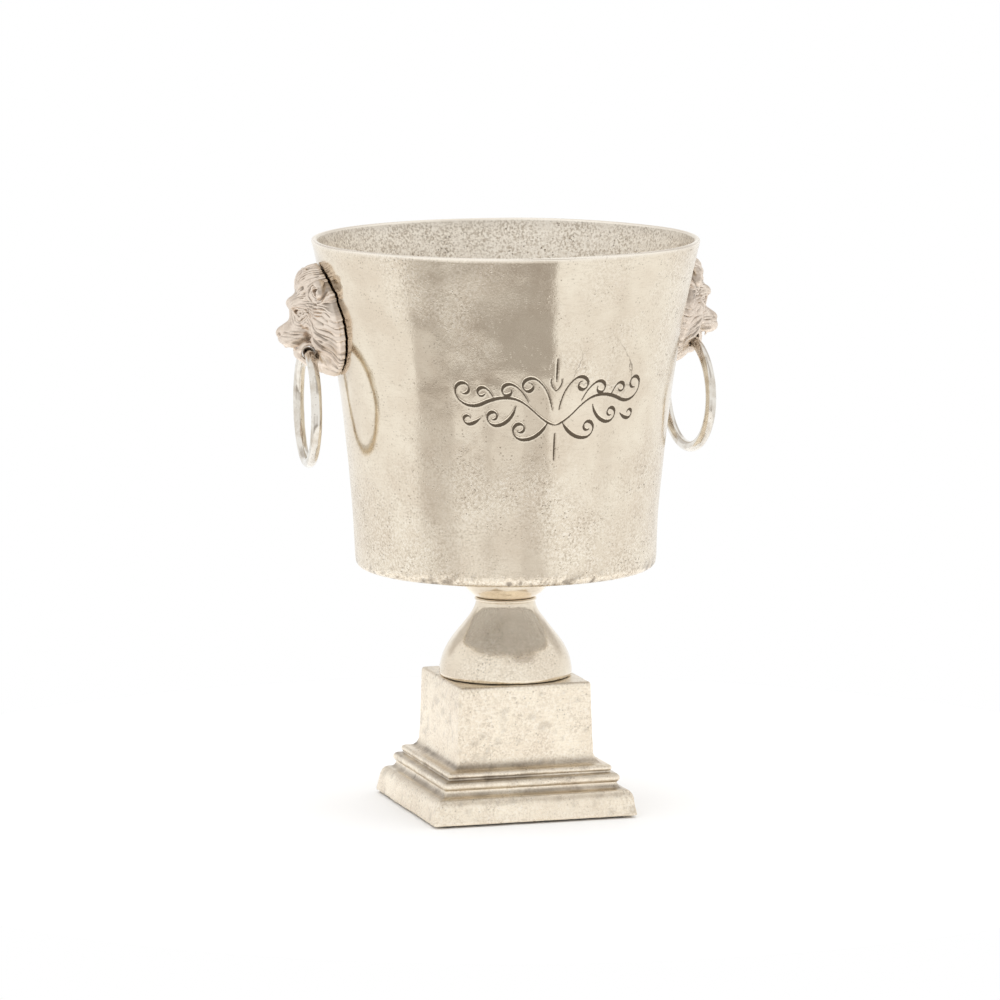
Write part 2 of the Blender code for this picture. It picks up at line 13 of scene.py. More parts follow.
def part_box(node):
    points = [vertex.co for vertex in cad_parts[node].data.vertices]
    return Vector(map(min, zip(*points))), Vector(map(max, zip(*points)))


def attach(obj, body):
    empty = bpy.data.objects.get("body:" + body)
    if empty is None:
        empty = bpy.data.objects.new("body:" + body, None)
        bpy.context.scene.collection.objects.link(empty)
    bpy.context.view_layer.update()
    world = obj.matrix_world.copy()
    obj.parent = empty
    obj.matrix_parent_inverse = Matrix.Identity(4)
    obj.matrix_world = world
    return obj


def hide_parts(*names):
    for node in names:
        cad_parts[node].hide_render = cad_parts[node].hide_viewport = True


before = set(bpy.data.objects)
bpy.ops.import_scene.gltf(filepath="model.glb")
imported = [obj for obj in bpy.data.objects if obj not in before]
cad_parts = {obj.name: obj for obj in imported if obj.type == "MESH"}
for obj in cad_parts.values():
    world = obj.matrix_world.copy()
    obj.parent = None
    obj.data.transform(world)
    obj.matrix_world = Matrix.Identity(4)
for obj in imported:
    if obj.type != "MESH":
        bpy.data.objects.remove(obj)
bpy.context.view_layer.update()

MM = 0.001
BODY = "bucket"

# --- sizes: boxes from the frame, then the sizes that the CAD model is worked out from ---
BOWL_LOW, BOWL_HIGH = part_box("bowl")
BOWL_BASE_Z, RIM_Z = BOWL_LOW[2], BOWL_HIGH[2]
PLINTH_LOW, PLINTH_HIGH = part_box("plinth")
STEM_LOW, STEM_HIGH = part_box("stem")
COLLAR_LOW, COLLAR_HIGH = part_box("collar")

WALL = 3.4 * MM
FLOOR = 4.5 * MM
BASE_RADIUS = 96.8 * MM
FLARE_LINEAR = 7.5 * MM
FLARE_CURVED = 20.7 * MM
ROD_HOLE = 4.3 * MM

HEAD_SETBACK = math.radians(6)
HEAD_Z = 319.5 * MM
RING_DISTANCE = 129 * MM
RING_PIVOT_Z = 299 * MM
RING_MEAN = 35.5 * MM
RING_TUBE = 3.5 * MM
SCREW_OFFSET = 16 * MM

ORNAMENT_Z = 272 * MM
ORNAMENT_RADIUS = 105 * MM
ORNAMENT_DEPTH = 0.55 * MM


def wall_radius(z):
    """Outside radius of the bowl at height z; z may be an array."""
    share = (z - BOWL_BASE_Z) / (RIM_Z - BOWL_BASE_Z)
    return BASE_RADIUS + FLARE_LINEAR * share + FLARE_CURVED * share * share


# --- noise and mesh tools ---
HASH = np.array((73856093, 19349663, 83492791))  # large primes that scatter the lattice's numbers
HASH_AGAIN = 1274126177
WOBBLE_SIZE = 12 * MM
WELD_DISTANCE = 1e-6


def lattice_noise(points, size, seed=0):
    """Smooth noise from -1 to 1 with features about as large as size. The same on every run."""
    place = points / size + seed * 17.13
    cell = np.floor(place).astype(np.int64)
    part = place - cell
    part = part * part * (3 - 2 * part)
    total = np.zeros(points.shape[:-1])
    for corner in np.ndindex(2, 2, 2):
        mixed = np.bitwise_xor.reduce((cell + corner) * HASH, axis=-1)
        mixed = ((mixed ^ (mixed >> 13)) * HASH_AGAIN) & 0x7FFFFFFF
        weight = np.prod(np.where(np.array(corner) == 1, part, 1 - part), axis=-1)
        total += weight * (mixed / 0x3FFFFFFF - 1)
    return total


def layered_noise(points, size, layers=3, seed=0):
    """Noise with finer and fainter layers on top, each half the size and height of the one before."""
    return sum(lattice_noise(points, size / 2**i, seed + i) / 2**i for i in range(layers))


def new_object(name, data):
    """An object in the scene that holds data."""
    obj = bpy.data.objects.new(name, data)
    bpy.context.scene.collection.objects.link(obj)
    return obj


def mesh_object(name, verts, faces, material, sharp=None):
    """A smooth-shaded object from vertices and faces, with its faces turned to point out."""
    mesh = bpy.data.meshes.new(name)
    mesh.from_pydata(np.asarray(verts, float).tolist(), [], np.asarray(faces).tolist())
    mesh.validate()
    bm = bmesh.new()
    bm.from_mesh(mesh)
    if bm.calc_volume(signed=True) < 0:
        bmesh.ops.reverse_faces(bm, faces=bm.faces)
    bm.to_mesh(mesh)
    bm.free()
    mesh.shade_smooth()
    if sharp:
        mesh.set_sharp_from_angle(angle=math.radians(sharp))
    mesh.materials.append(material)
    return new_object(name, mesh)


def store(mesh, name, values):
    """Keeps one number for each vertex, which the materials read."""
    attribute = mesh.attributes.new(name, "FLOAT", "POINT")
    attribute.data.foreach_set("value", np.asarray(values, np.float32).ravel())


def faded(value, start, width):
    """0 up to start, rising to 1 over width; a negative width rises the other way."""
    return np.clip((value - start) / width, 0, 1)


def grid_faces(rows, columns, closed_rows):
    """Quads of a grid whose columns close on themselves, and whose rows do too if closed_rows."""
    i, j = np.meshgrid(np.arange(rows if closed_rows else rows - 1), np.arange(columns), indexing="ij")
    i, j = i.ravel(), j.ravel()
    below, beside = (i + 1) % rows, (j + 1) % columns
    return np.stack((i * columns + j, i * columns + beside, below * columns + beside, below * columns + j), 1)


def turned(name, outline, material, columns, closed=True, wobble=0.0, seed=0, sharp=None):
    """An outline of (radius, height) points turned round Z, with a little hand-made unevenness."""
    outline = np.array(outline)
    angle = np.linspace(0, math.tau, columns, endpoint=False)
    radius, height = outline[:, 0][:, None], outline[:, 1][:, None]
    points = np.stack(np.broadcast_arrays(radius * np.cos(angle), radius * np.sin(angle), height), -1)
    if wobble:
        out = np.stack((np.cos(angle), np.sin(angle), 0 * angle), -1)
        points = points + out * (wobble * layered_noise(points, WOBBLE_SIZE, 3, seed))[..., None]
    faces = grid_faces(len(outline), columns, closed)
    return mesh_object(name, points.reshape(-1, 3), faces, material, sharp)


def weld(mesh):
    """Joins vertices at the same place, and removes the faces that had no area there."""
    bm = bmesh.new()
    bm.from_mesh(mesh)
    bmesh.ops.remove_doubles(bm, verts=bm.verts, dist=WELD_DISTANCE)
    bmesh.ops.recalc_face_normals(bm, faces=bm.faces)
    bm.to_mesh(mesh)
    bm.free()


def capped(name, outline, material):
    """A turned solid whose outline starts and ends on the axis."""
    obj = turned(name, outline, material, columns=48, closed=False)
    weld(obj.data)
    obj.data.shade_smooth()
    obj.data.set_sharp_from_angle(angle=math.radians(35))
    return obj


def arc(centre, radius, start, end, steps):
    """Points of an arc in the outline plane; the angles are in degrees."""
    angles = np.radians(np.linspace(start, end, steps + 1))
    return [(centre[0] + radius * math.cos(a), centre[1] + radius * math.sin(a)) for a in angles]


def refined(outline, spacing):
    """The outline with points added so that no two are further apart than spacing."""
    result = [outline[0]]
    for a, b in zip(outline, outline[1:]):
        steps = max(1, math.ceil(math.dist(a, b) / spacing))
        for i in range(1, steps + 1):
            result.append((a[0] + (b[0] - a[0]) * i / steps, a[1] + (b[1] - a[1]) * i / steps))
    return result


def nodes_named(start):
    """The CAD nodes whose names begin so."""
    return [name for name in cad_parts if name.startswith(start)]


def in_mm(*points):
    """Points given in millimetres, in metres."""
    return [(x * MM, y * MM) for x, y in points]


def fixed(obj, slot, *nodes, body=BODY):
    """obj rides on body and stands for the named CAD nodes, which it hides. slot is not used."""
    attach(obj, body)
    if nodes:
        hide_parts(*nodes)
    return obj


# --- materials ---
class Nodes:
    """The node tree of a material or world, with one short call for each kind of node."""

    def __init__(self, owner):
        self.owner = owner
        owner.use_nodes = True
        self.tree = owner.node_tree
        self.coordinates = self.tree.nodes.new("ShaderNodeTexCoord").outputs
        self.place = self.coordinates["Object"]

    def add(self, kind, **inputs):
        node = self.tree.nodes.new(kind)
        for key, value in inputs.items():
            self.put(node.inputs[key.replace("_", " ")], value)
        return node

    def put(self, socket, value):
        if isinstance(value, bpy.types.NodeSocket):
            self.tree.links.new(value, socket)
        else:
            socket.default_value = value

    def noise(self, scale, detail=2.0, roughness=0.5, distortion=0.0, place=None):
        node = self.add("ShaderNodeTexNoise", Vector=place or self.place, Scale=scale, Detail=detail,
                        Roughness=roughness, Distortion=distortion)
        return node.outputs["Fac"]

    def spots(self, scale, place=None):
        """Distance to the nearest of many scattered points."""
        node = self.add("ShaderNodeTexVoronoi", Vector=place or self.place, Scale=scale)
        return node.outputs["Distance"]

    def stretched(self, x, y, z):
        node = self.add("ShaderNodeMapping", Vector=self.place)
        node.inputs["Scale"].default_value = (x, y, z)
        return node.outputs["Vector"]

    def span(self, value, low, high, start=0.0, end=1.0, smooth=False):
        """value rescaled so that low gives start and high gives end, held there beyond."""
        node = self.add("ShaderNodeMapRange", Value=value)
        if smooth:
            node.interpolation_type = "SMOOTHSTEP"
        for key, number in (("From Min", low), ("From Max", high), ("To Min", start), ("To Max", end)):
            node.inputs[key].default_value = number
        return node.outputs["Result"]

    def maths(self, kind, a, b=0.0):
        node = self.tree.nodes.new("ShaderNodeMath")
        node.operation = kind
        self.put(node.inputs[0], a)
        self.put(node.inputs[1], b)
        return node.outputs["Value"]

    def times(self, a, b):
        return self.maths("MULTIPLY", a, b)

    def plus(self, a, b):
        return self.maths("ADD", a, b)

    def less(self, a, b):
        return self.maths("SUBTRACT", a, b)

    def mix(self, share, first, second):
        node = self.tree.nodes.new("ShaderNodeMix")
        node.data_type = "RGBA"
        self.put(node.inputs["Factor"], share)
        for socket, value in ((node.inputs["A"], first), (node.inputs["B"], second)):
            self.put(socket, (*value, 1.0) if isinstance(value, tuple) else value)
        return node.outputs["Result"]

    def wavering(self, amount):
        """The object's own coordinates, pushed about a little by noise."""
        noise = self.add("ShaderNodeTexNoise", Vector=self.place, Scale=45.0, Detail=4.0)
        shift = self.tree.nodes.new("ShaderNodeVectorMath")
        shift.operation = "MULTIPLY_ADD"
        self.put(shift.inputs[0], noise.outputs["Color"])
        shift.inputs[1].default_value = (amount, amount, amount)
        self.put(shift.inputs[2], self.place)
        return shift.outputs["Vector"]

    def attribute(self, name):
        node = self.tree.nodes.new("ShaderNodeAttribute")
        node.attribute_name = name
        return node.outputs["Fac"]

    def bump(self, height, strength, distance, normal=None):
        node = self.add("ShaderNodeBump", Height=height, Strength=strength, Distance=distance)
        if normal:
            self.put(node.inputs["Normal"], normal)
        return node.outputs["Normal"]

    def finish(self, colour, roughness, normal=None, metallic=1.0):
        """The material, once its surface has been given these sockets and this share of metal."""
        inputs = self.tree.nodes["Principled BSDF"].inputs
        self.put(inputs["Base Color"], colour)
        self.put(inputs["Roughness"], roughness)
        inputs["Metallic"].default_value = metallic
        if normal:
            self.put(inputs["Normal"], normal)
        return self.owner


def new_material(name):
    return Nodes(bpy.data.materials.new(name))


# Added to the depth inside an engraved line, so that a mesh without the attribute reads as well outside one.
ENGRAVED_OFFSET = 4.0

NICKEL = (0.87, 0.785, 0.645)
NICKEL_PALE = (0.96, 0.90, 0.80)
NICKEL_SANDY = (0.94, 0.85, 0.70)
NICKEL_HEAD = (0.89, 0.785, 0.68)
NICKEL_ROD = (0.80, 0.765, 0.70)
NICKEL_DULL = (0.50, 0.425, 0.335)
UNDERSIDE_SHADE_GREY = (0.44, 0.45, 0.47)
PATINA_AND_SHADE = (0.17, 0.13, 0.095)
ENGRAVED_PATINA = (0.105, 0.078, 0.052)
ZINC_LIGHT, ZINC_DARK = (0.62, 0.61, 0.57), (0.42, 0.39, 0.33)
RUBBER_DARK, RUBBER_DUSTY = (0.018, 0.018, 0.019), (0.05, 0.048, 0.045)
PAPER_LIGHT, PAPER_DARK = (0.92, 0.92, 0.92), (0.90, 0.90, 0.90)


def worn(colour):
    """The same metal where the plating is thinner: a little darker and warmer."""
    return tuple(value * share for value, share in zip(colour, (0.88, 0.85, 0.83)))


def cast_metal(name, bright=NICKEL, rough=(0.06, 0.25), grain=1.0, pits=1.0, patches=(0.40, 0.60)):
    """Sand-cast metal under worn nickel: burnished areas, grainy areas, and dark specks in the pits.

    rough is the roughness where it is burnished and where it isn't. patches is the range of noise over which
    grainy turns to burnished. A mesh may carry these attributes, and one that it lacks reads as 0:
    worked (more burnished), coarse (never burnished), inside (pale and matt), edge (a painted highlight:
    paler), bare (painted shade: grey), cracked, hollow (darker: grime and patina, and painted shade in
    creases, beside the heads and along their edges) and engraved (how deep inside a cut line)."""
    n = new_material(name)
    inside = n.attribute("inside")
    burnished = n.span(n.plus(n.noise(13, 4, 0.55, 0.5), n.attribute("worked")), *patches)
    burnished = n.times(burnished, n.less(1.0, n.attribute("coarse")))
    grainy = n.less(1.0, burnished)

    def by_grain(least, most):
        """least where the metal is burnished, rising to most where it is grainy."""
        return n.span(grainy, 0, 1, least, most)

    coarse = n.noise(640 / grain, 3, 0.62, 0.3)
    fine = n.noise(1500 / grain, 2, 0.6)
    rubbed = n.noise(1, 3, 0.6, 0.2, n.stretched(150, 150, 1100))
    clumps = n.span(n.noise(70, 3, 0.6, 0.5), 0.35, 0.65)
    pit = n.span(n.spots(430 / grain), 0.10, 0.32, 1, 0)
    pit = n.times(pit, n.span(n.noise(110, 3, 0.6), 0.49, 0.60))
    dots = n.span(n.spots(900 / grain), 0.10, 0.30, 1, 0)
    dots = n.times(dots, n.span(n.noise(210, 2, 0.6), 0.42, 0.62))

    tone = n.mix(n.span(n.noise(34, 4, 0.6, 0.4), 0.36, 0.68), bright, worn(bright))
    tone = n.mix(n.times(inside, 0.8), tone, NICKEL_PALE)
    lumpy = n.plus(coarse, n.times(inside, 0.03))
    spread = n.plus(clumps, n.times(inside, 0.35))
    mottle = n.times(n.span(lumpy, 0.48, 0.64), n.span(spread, 0, 1, 0.15, 1.0))
    mottle = n.times(mottle, by_grain(0.12, 0.9))
    crests = n.times(n.span(coarse, 0.36, 0.50, 1, 0), by_grain(0.05, 0.6))
    tone = n.mix(crests, tone, NICKEL_PALE)
    tone = n.mix(n.times(mottle, pits), tone, NICKEL_DULL)
    tone = n.mix(n.span(rubbed, 0.54, 0.72, 0.0, 0.22), tone, NICKEL_DULL)
    tone = n.mix(n.times(dots, by_grain(0.12 * pits, 0.50 * pits)), tone, PATINA_AND_SHADE)
    tone = n.mix(n.times(pit, by_grain(0.35 * pits, 0.80 * pits)), tone, PATINA_AND_SHADE)
    cell = n.add("ShaderNodeTexVoronoi", Vector=n.wavering(0.02), Scale=30.0)
    cell.feature = "DISTANCE_TO_EDGE"
    crack = n.span(cell.outputs["Distance"], 0.0, 0.016, 1, 0)
    crack = n.times(crack, n.times(n.attribute("cracked"), n.span(clumps, 0.2, 0.6)))
    tone = n.mix(n.times(crack, 0.8), tone, PATINA_AND_SHADE)
    # Grey where bare says: painted shade on the bowl's underside.
    tone = n.mix(n.attribute("bare"), tone, UNDERSIDE_SHADE_GREY)
    # Paler where edge says: a painted highlight along the bowl's lip.
    tone = n.mix(n.times(n.attribute("edge"), 0.9), tone, NICKEL_PALE)
    # Darkened where hollow says: grime and patina, and painted shade in creases, hollows, beside the heads
    # and along their edges.
    tone = n.mix(n.span(n.attribute("hollow"), 0.0, 1.0, 0.0, 0.85), tone, PATINA_AND_SHADE)
    depth = n.less(n.attribute("engraved"), ENGRAVED_OFFSET)
    groove = n.span(n.plus(depth, n.span(fine, 0.3, 0.7, -0.14, 0.14)), -0.12, 0.10)
    tone = n.mix(n.times(groove, 0.95), tone, ENGRAVED_PATINA)

    roughness = n.plus(n.span(burnished, 0, 1, rough[1], rough[0]), n.span(fine, 0.3, 0.7, -0.03, 0.04))
    roughness = n.plus(roughness, n.span(rubbed, 0.4, 0.7, 0.0, 0.05))
    roughness = n.plus(roughness, n.times(inside, 0.16))
    roughness = n.maths("MAXIMUM", roughness, n.times(groove, 0.5))
    height = n.plus(n.times(coarse, 0.8), n.times(fine, 0.3))
    height = n.less(height, n.times(n.plus(pit, crack), 1.3))
    height = n.times(height, by_grain(0.22, 1.0))
    return n.finish(tone, roughness, n.bump(height, 0.8 * pits, 0.16 * MM))


def polished_metal(name):
    """Nickel-plated rod: bright, with hairline scratches, dull spots and a little tarnish."""
    n = new_material(name)
    blotch = n.span(n.noise(90, 3, 0.6, 0.3), 0.45, 0.7)
    tone = n.mix(n.times(blotch, 0.7), NICKEL_ROD, NICKEL_DULL)
    nick = n.span(n.spots(260), 0.05, 0.12, 1, 0)
    tone = n.mix(n.times(nick, 0.6), tone, PATINA_AND_SHADE)
    scratches = n.noise(1, 2, 0.5, 0.0, n.stretched(1500, 240, 240))
    roughness = n.plus(n.span(blotch, 0, 1, 0.09, 0.2), n.span(scratches, 0.4, 0.7, 0.0, 0.05))
    return n.finish(tone, roughness, n.bump(n.noise(170, 2, 0.5), 0.25, 0.3 * MM))


def plated_steel(name):
    n = new_material(name)
    tone = n.mix(n.span(n.noise(140, 3, 0.6), 0.4, 0.7), ZINC_LIGHT, ZINC_DARK)
    roughness = n.span(n.noise(500, 2, 0.5), 0.3, 0.7, 0.22, 0.42)
    return n.finish(tone, roughness, n.bump(n.noise(900, 2, 0.5), 0.3, 0.1 * MM))


def black_rubber(name):
    n = new_material(name)
    tone = n.mix(n.noise(300, 3, 0.6), RUBBER_DARK, RUBBER_DUSTY)
    roughness = n.span(n.noise(700, 2, 0.5), 0.3, 0.7, 0.6, 0.85)
    return n.finish(tone, roughness, n.bump(n.noise(1500, 2, 0.5), 0.4, 0.1 * MM), metallic=0.0)


# --- the engraved ornament ---
# Each line of the right half, in millimetres from the ornament's middle: start, heading in degrees, and
# stretches of (length, turn per millimetre at its start, and at its end). The left half mirrors it.
ORNAMENT_LINES = (
    ((0, -10), 14, ((28, 3.6, -2.6), (24, -3.4, -1.2), (20, 4, 6), (22, 8, 20))),
    ((2.2, 0), 80, ((22, -0.6, -3.2), (10, -8, -12), (16, -13, -24))),
    ((17, 5), 62, ((15, 0, -4.5), (20, -9, -24))),
    ((5, -8.6), -62, ((20, 2, 4.6), (12, 8, 12), (14, 14, 26))),
    ((25, 2.5), -78, ((17, 2.6, 5), (12, 8, 14), (12, 16, 28))),
    ((38.5, 7.5), 66, ((8, 0, -7), (14, -13, -28))),
    ((47, -5), -45, ((8, 2, 7), (12, 14, 30))),
    ((0, 33), -90, ((15, 0, 0),)),
    ((0, -15), -90, ((18, 0, 0),)),
    ((0, 12), 40, ((9, 3, 12),)),
)
PEN_STEP, PEN_ANGLE, PEN_TAPER = 0.35, 62, 5.0
PEN_THIN, PEN_THICK = 0.45, 1.2  # half-widths


def pen_line(start, heading, stretches):
    """Points (x, y, half-width) along one engraved line, drawn as if with a broad slanted nib."""
    x, y = start
    direction = math.radians(heading)
    rows = [(x, y, direction)]
    for length, bend_start, bend_end in stretches:
        steps = round(length / PEN_STEP)
        for i in range(steps):
            bend = bend_start + (bend_end - bend_start) * (i + 0.5) / steps
            direction += math.radians(bend) * length / steps
            x += math.cos(direction) * length / steps
            y += math.sin(direction) * length / steps
            rows.append((x, y, direction))
    line = np.array(rows)
    along = np.arange(len(line)) * PEN_STEP
    end = np.clip(np.minimum(along, along[-1] - along) / PEN_TAPER, 0, 1)
    nib = np.abs(np.sin(line[:, 2] - math.radians(PEN_ANGLE))) ** 2.2
    line[:, 2] = PEN_THIN * (0.8 + 0.2 * end) + (PEN_THICK - PEN_THIN) * nib * end
    return line


def engraved_depth(across, up):
    """How far inside an engraved line each point lies, in millimetres; negative outside."""
    depth = np.full(across.shape, -4.0)
    for start, heading, stretches in ORNAMENT_LINES:
        for x, y, half in pen_line(start, heading, stretches):
            for side in (x, -x):
                near = (np.abs(across - side) < 4) & (np.abs(up - y) < 4)
                depth[near] = np.maximum(depth[near], half - np.hypot(across[near] - side, up[near] - y))
    return depth


# --- bowl ---
ORNAMENT_SPREAD = 37.5  # degrees each side of the front that have the fine columns
FINE_COLUMNS, WIDE_COLUMNS = 226, 160
ORNAMENT_REACH = 35 * MM  # above and below the ornament's middle that has the fine rows
FINE_ROWS, WIDE_ROWS, INSIDE_ROWS = 114, 26, 38


def bowl_columns():
    """Angles from the front (-Y), close together across the ornament and wider elsewhere."""
    half = math.radians(ORNAMENT_SPREAD)
    fine = np.linspace(-half, half, FINE_COLUMNS)
    wide = np.linspace(half, math.tau - half, WIDE_COLUMNS)[1:-1]
    return np.concatenate((fine, wide))


def bowl_outline():
    """(radius, height, outside share) round the wall's section, with the ornament's band in fine steps."""
    lip = WALL / 2
    edge, cove = 5 * MM, 5 * MM
    floor_z = BOWL_BASE_Z + FLOOR
    low, high = ORNAMENT_Z - ORNAMENT_REACH, ORNAMENT_Z + ORNAMENT_REACH
    base = refined([(ROD_HOLE, BOWL_BASE_Z), (BASE_RADIUS - edge, BOWL_BASE_Z)], 7 * MM)
    base += arc((BASE_RADIUS - edge, BOWL_BASE_Z + edge), edge, -80, -5, 7)
    outside = [(r, z, 1.0) for r, z in base]
    below = np.linspace(BOWL_BASE_Z + 7 * MM, low, WIDE_ROWS)
    above = np.linspace(high, RIM_Z - 2 * lip, WIDE_ROWS)
    heights = np.concatenate((below, np.linspace(low, high, FINE_ROWS)[1:-1], above))
    outside += [(wall_radius(z), z, 1.0) for z in heights]
    top = wall_radius(RIM_Z - lip) - lip
    rounded = [(r, z, 1 - i / 8) for i, (r, z) in enumerate(arc((top, RIM_Z - lip), lip, 0, 180, 8))]
    heights = np.linspace(RIM_Z - 2 * lip, floor_z + cove, INSIDE_ROWS)
    inside = [(wall_radius(z) - WALL, z, 0.0) for z in heights]
    corner = wall_radius(floor_z + cove) - WALL - cove
    floor = arc((corner, floor_z + cove), cove, -10, -90, 5)
    floor += refined([(corner, floor_z), (ROD_HOLE, floor_z)], 7 * MM)[1:]
    return np.array(outside + rounded + inside + [(r, z, 0.0) for r, z in floor])


def painted_shade_beside_heads(points):
    """1 close beside a lion head and 0 well away from both: there the bowl gets painted shade."""
    nearest = np.zeros(points.shape[:-1])
    for side in (-1, 1):
        matrix = np.array(head_frame(side).inverted())
        place = (points @ matrix[:3, :3].T + matrix[:3, 3]) / MM
        spread = np.hypot(place[..., 1] / 32.5, place[..., 2] / 36)
        nearest = np.maximum(nearest, faded(spread, 1.32, -0.3) * (place[..., 0] > -40))
    return nearest


def build_bowl(material):
    outline, angle = bowl_outline(), bowl_columns()
    rows, columns = len(outline), len(angle)
    radius, height, outside = (np.repeat(outline[:, i][:, None], columns, 1) for i in range(3))
    outward = np.stack((np.sin(angle), -np.cos(angle), 0 * angle), -1)[None]
    points = outward * radius[..., None]
    points[..., 2] = height
    circle = outward * 60 * MM + 0 * points

    # The casting's waves, an uneven lip and the cut ornament all move a point in or out of the wall.
    wall_share = np.clip((radius - 60 * MM) / (30 * MM), 0, 1)
    waves = 0.36 * MM * lattice_noise(points, 34 * MM, 3) + 0.07 * MM * layered_noise(points, 11 * MM, 2, 5)
    cast = np.where(outside > 0.5, waves, 1.5 * waves + 0.12 * MM * lattice_noise(points, 5 * MM, 9))
    near_lip = np.clip((height - (RIM_Z - 9 * MM)) / (8 * MM), 0, 1)
    uneven = 0.55 * MM * lattice_noise(circle, 22 * MM, 12)
    shift = cast + near_lip * uneven * (outside * 2 - 1)

    front = np.where(angle > math.pi, angle - math.tau, angle)
    across = np.repeat((front * ORNAMENT_RADIUS / MM)[None], rows, 0)
    up = (height - ORNAMENT_Z) / MM
    marked = (outside == 1.0) & (np.abs(across) < 70) & (np.abs(up) < 36)
    depth = np.full(radius.shape, -4.0)
    depth[marked] = engraved_depth(across[marked], up[marked])
    groove = np.clip((depth + 0.15) / 0.75, 0, 1)
    shift = shift - ORNAMENT_DEPTH * groove * groove * (3 - 2 * groove)

    points += outward * (shift * wall_share)[..., None]
    flat = 0.25 * MM * lattice_noise(points, 15 * MM, 21) * (1 - wall_share)
    flat = flat * np.clip(radius / (30 * MM) - 1, 0, 1)
    points[..., 2] += flat - near_lip * 0.5 * MM * (1 + lattice_noise(circle, 30 * MM, 31)) / 2

    crust = faded(height, BOWL_BASE_Z + 9 * MM, -6 * MM) * outside * wall_share
    chips = layered_noise(points, 3.2 * MM, 2, 15)
    points -= outward * (0.45 * MM * crust * faded(chips, 0.1, 0.5))[..., None]
    bowl = mesh_object("bowl_casting", points.reshape(-1, 3), grid_faces(rows, columns, True), material)

    # Wear and painted light: rough low down and on the sides, handled smooth by the heads, grey underneath as
    # painted shade, painted shade round the heads, and a painted highlight at the lip.
    store(bowl.data, "engraved", depth + ENGRAVED_OFFSET)
    low_wall = faded(height, 250 * MM, -70 * MM)
    rough_side = faded(np.abs(front)[None] + 0.3 * lattice_noise(points, 30 * MM, 25), 0.35, 0.5)
    underside = faded(radius, BASE_RADIUS - 3 * MM, -6 * MM) * outside
    cracked = np.exp(-(((across - 36) / 24) ** 2) - ((up - 24) / 14) ** 2) * (outside == 1)
    store(bowl.data, "inside", 1 - outside)
    upper_wall = faded(-height, -225 * MM, -20 * MM) * outside
    handled = np.exp(-(((front + 1.2) / 0.25) ** 2)) + np.exp(-(((front + 0.33) / 0.34) ** 2))
    store(bowl.data, "worked", 0.14 * handled[None] * upper_wall)
    # The underside painted grey: painted shade under the bowl.
    store(bowl.data, "bare", 0.8 * underside)
    store(bowl.data, "coarse", np.clip(1 - outside + low_wall * rough_side + crust, 0, 1))
    store(bowl.data, "cracked", np.clip(1.6 * cracked, 0, 1))
    # Darker in the chipped crust at the foot, and inside along the top of the wall below the lip.
    darkening = 0.8 * crust * faded(chips, 0.1, 0.5) + 0.25 * near_lip * (outside == 0)
    # Round the heads the bowl is painted darker: painted shade.
    store(bowl.data, "hollow", darkening + 0.32 * painted_shade_beside_heads(points) * outside)
    # The lip painted paler: a painted highlight.
    store(bowl.data, "edge", faded(height, RIM_Z - 2.2 * MM, 1.2 * MM))
    return fixed(bowl, "cast_nickel", "bowl")


# --- collar, stem and plinth ---
def build_collar(material):
    low, high, cup = COLLAR_LOW[2], COLLAR_HIGH[2], 20.7 * MM
    centre = (COLLAR_HIGH[0] - cup, high - 1.6 * MM)
    start = -math.degrees(math.asin((centre[1] - low) / cup))
    outline = [(11 * MM, low)] + arc(centre, cup, start, 4, 30) + [(ROD_HOLE, high), (ROD_HOLE, low + 3 * MM)]
    outline += [(11 * MM, low + 3 * MM)]
    outline = refined(outline, 1.4 * MM)
    collar = turned("collar_casting", outline, material, 144, wobble=0.16 * MM, seed=40, sharp=40)
    return fixed(collar, "cast_nickel", "collar")


def build_stem(material):
    """The bell: full and rounded low down, waisted at the neck, with a bead on top."""
    low, high = STEM_LOW[2], STEM_HIGH[2] - 2 * MM
    bead, neck, base = 1.2 * MM, 19.2 * MM, STEM_HIGH[0]
    neck_z = high - 2 * bead
    profile = []
    for share in np.linspace(0, 1, 64):
        swell = 0.5 + 0.5 * math.cos(math.pi * share**1.22)
        profile.append((neck + (base - neck) * swell**0.86, low + (neck_z - low) * share))
    outline = [(16 * MM, low), (base - 1.6 * MM, low), (base - 0.6 * MM, low + 0.4 * MM)] + profile[2:]
    outline += arc((neck - 0.3 * MM, high - bead), bead, -80, 90, 10)
    spigot_z, recess_z = high + 2 * MM, low + 30 * MM
    outline += [(10 * MM, high), (10 * MM, spigot_z), (ROD_HOLE, spigot_z), (ROD_HOLE, recess_z)]
    outline = refined(outline + [(13 * MM, recess_z)], 1.6 * MM)
    stem = turned("stem_casting", outline, material, 176, wobble=0.22 * MM, seed=50, sharp=40)
    return fixed(stem, "cast_nickel", "stem")


PLINTH_TOP_HALF = 43 * MM
PLINTH_CORNER = 1.5 * MM
PLINTH_HOLLOWS = (19.4, 28.4, 35.4)  # heights between the mouldings where grime and painted shade darken the plinth, in millimetres


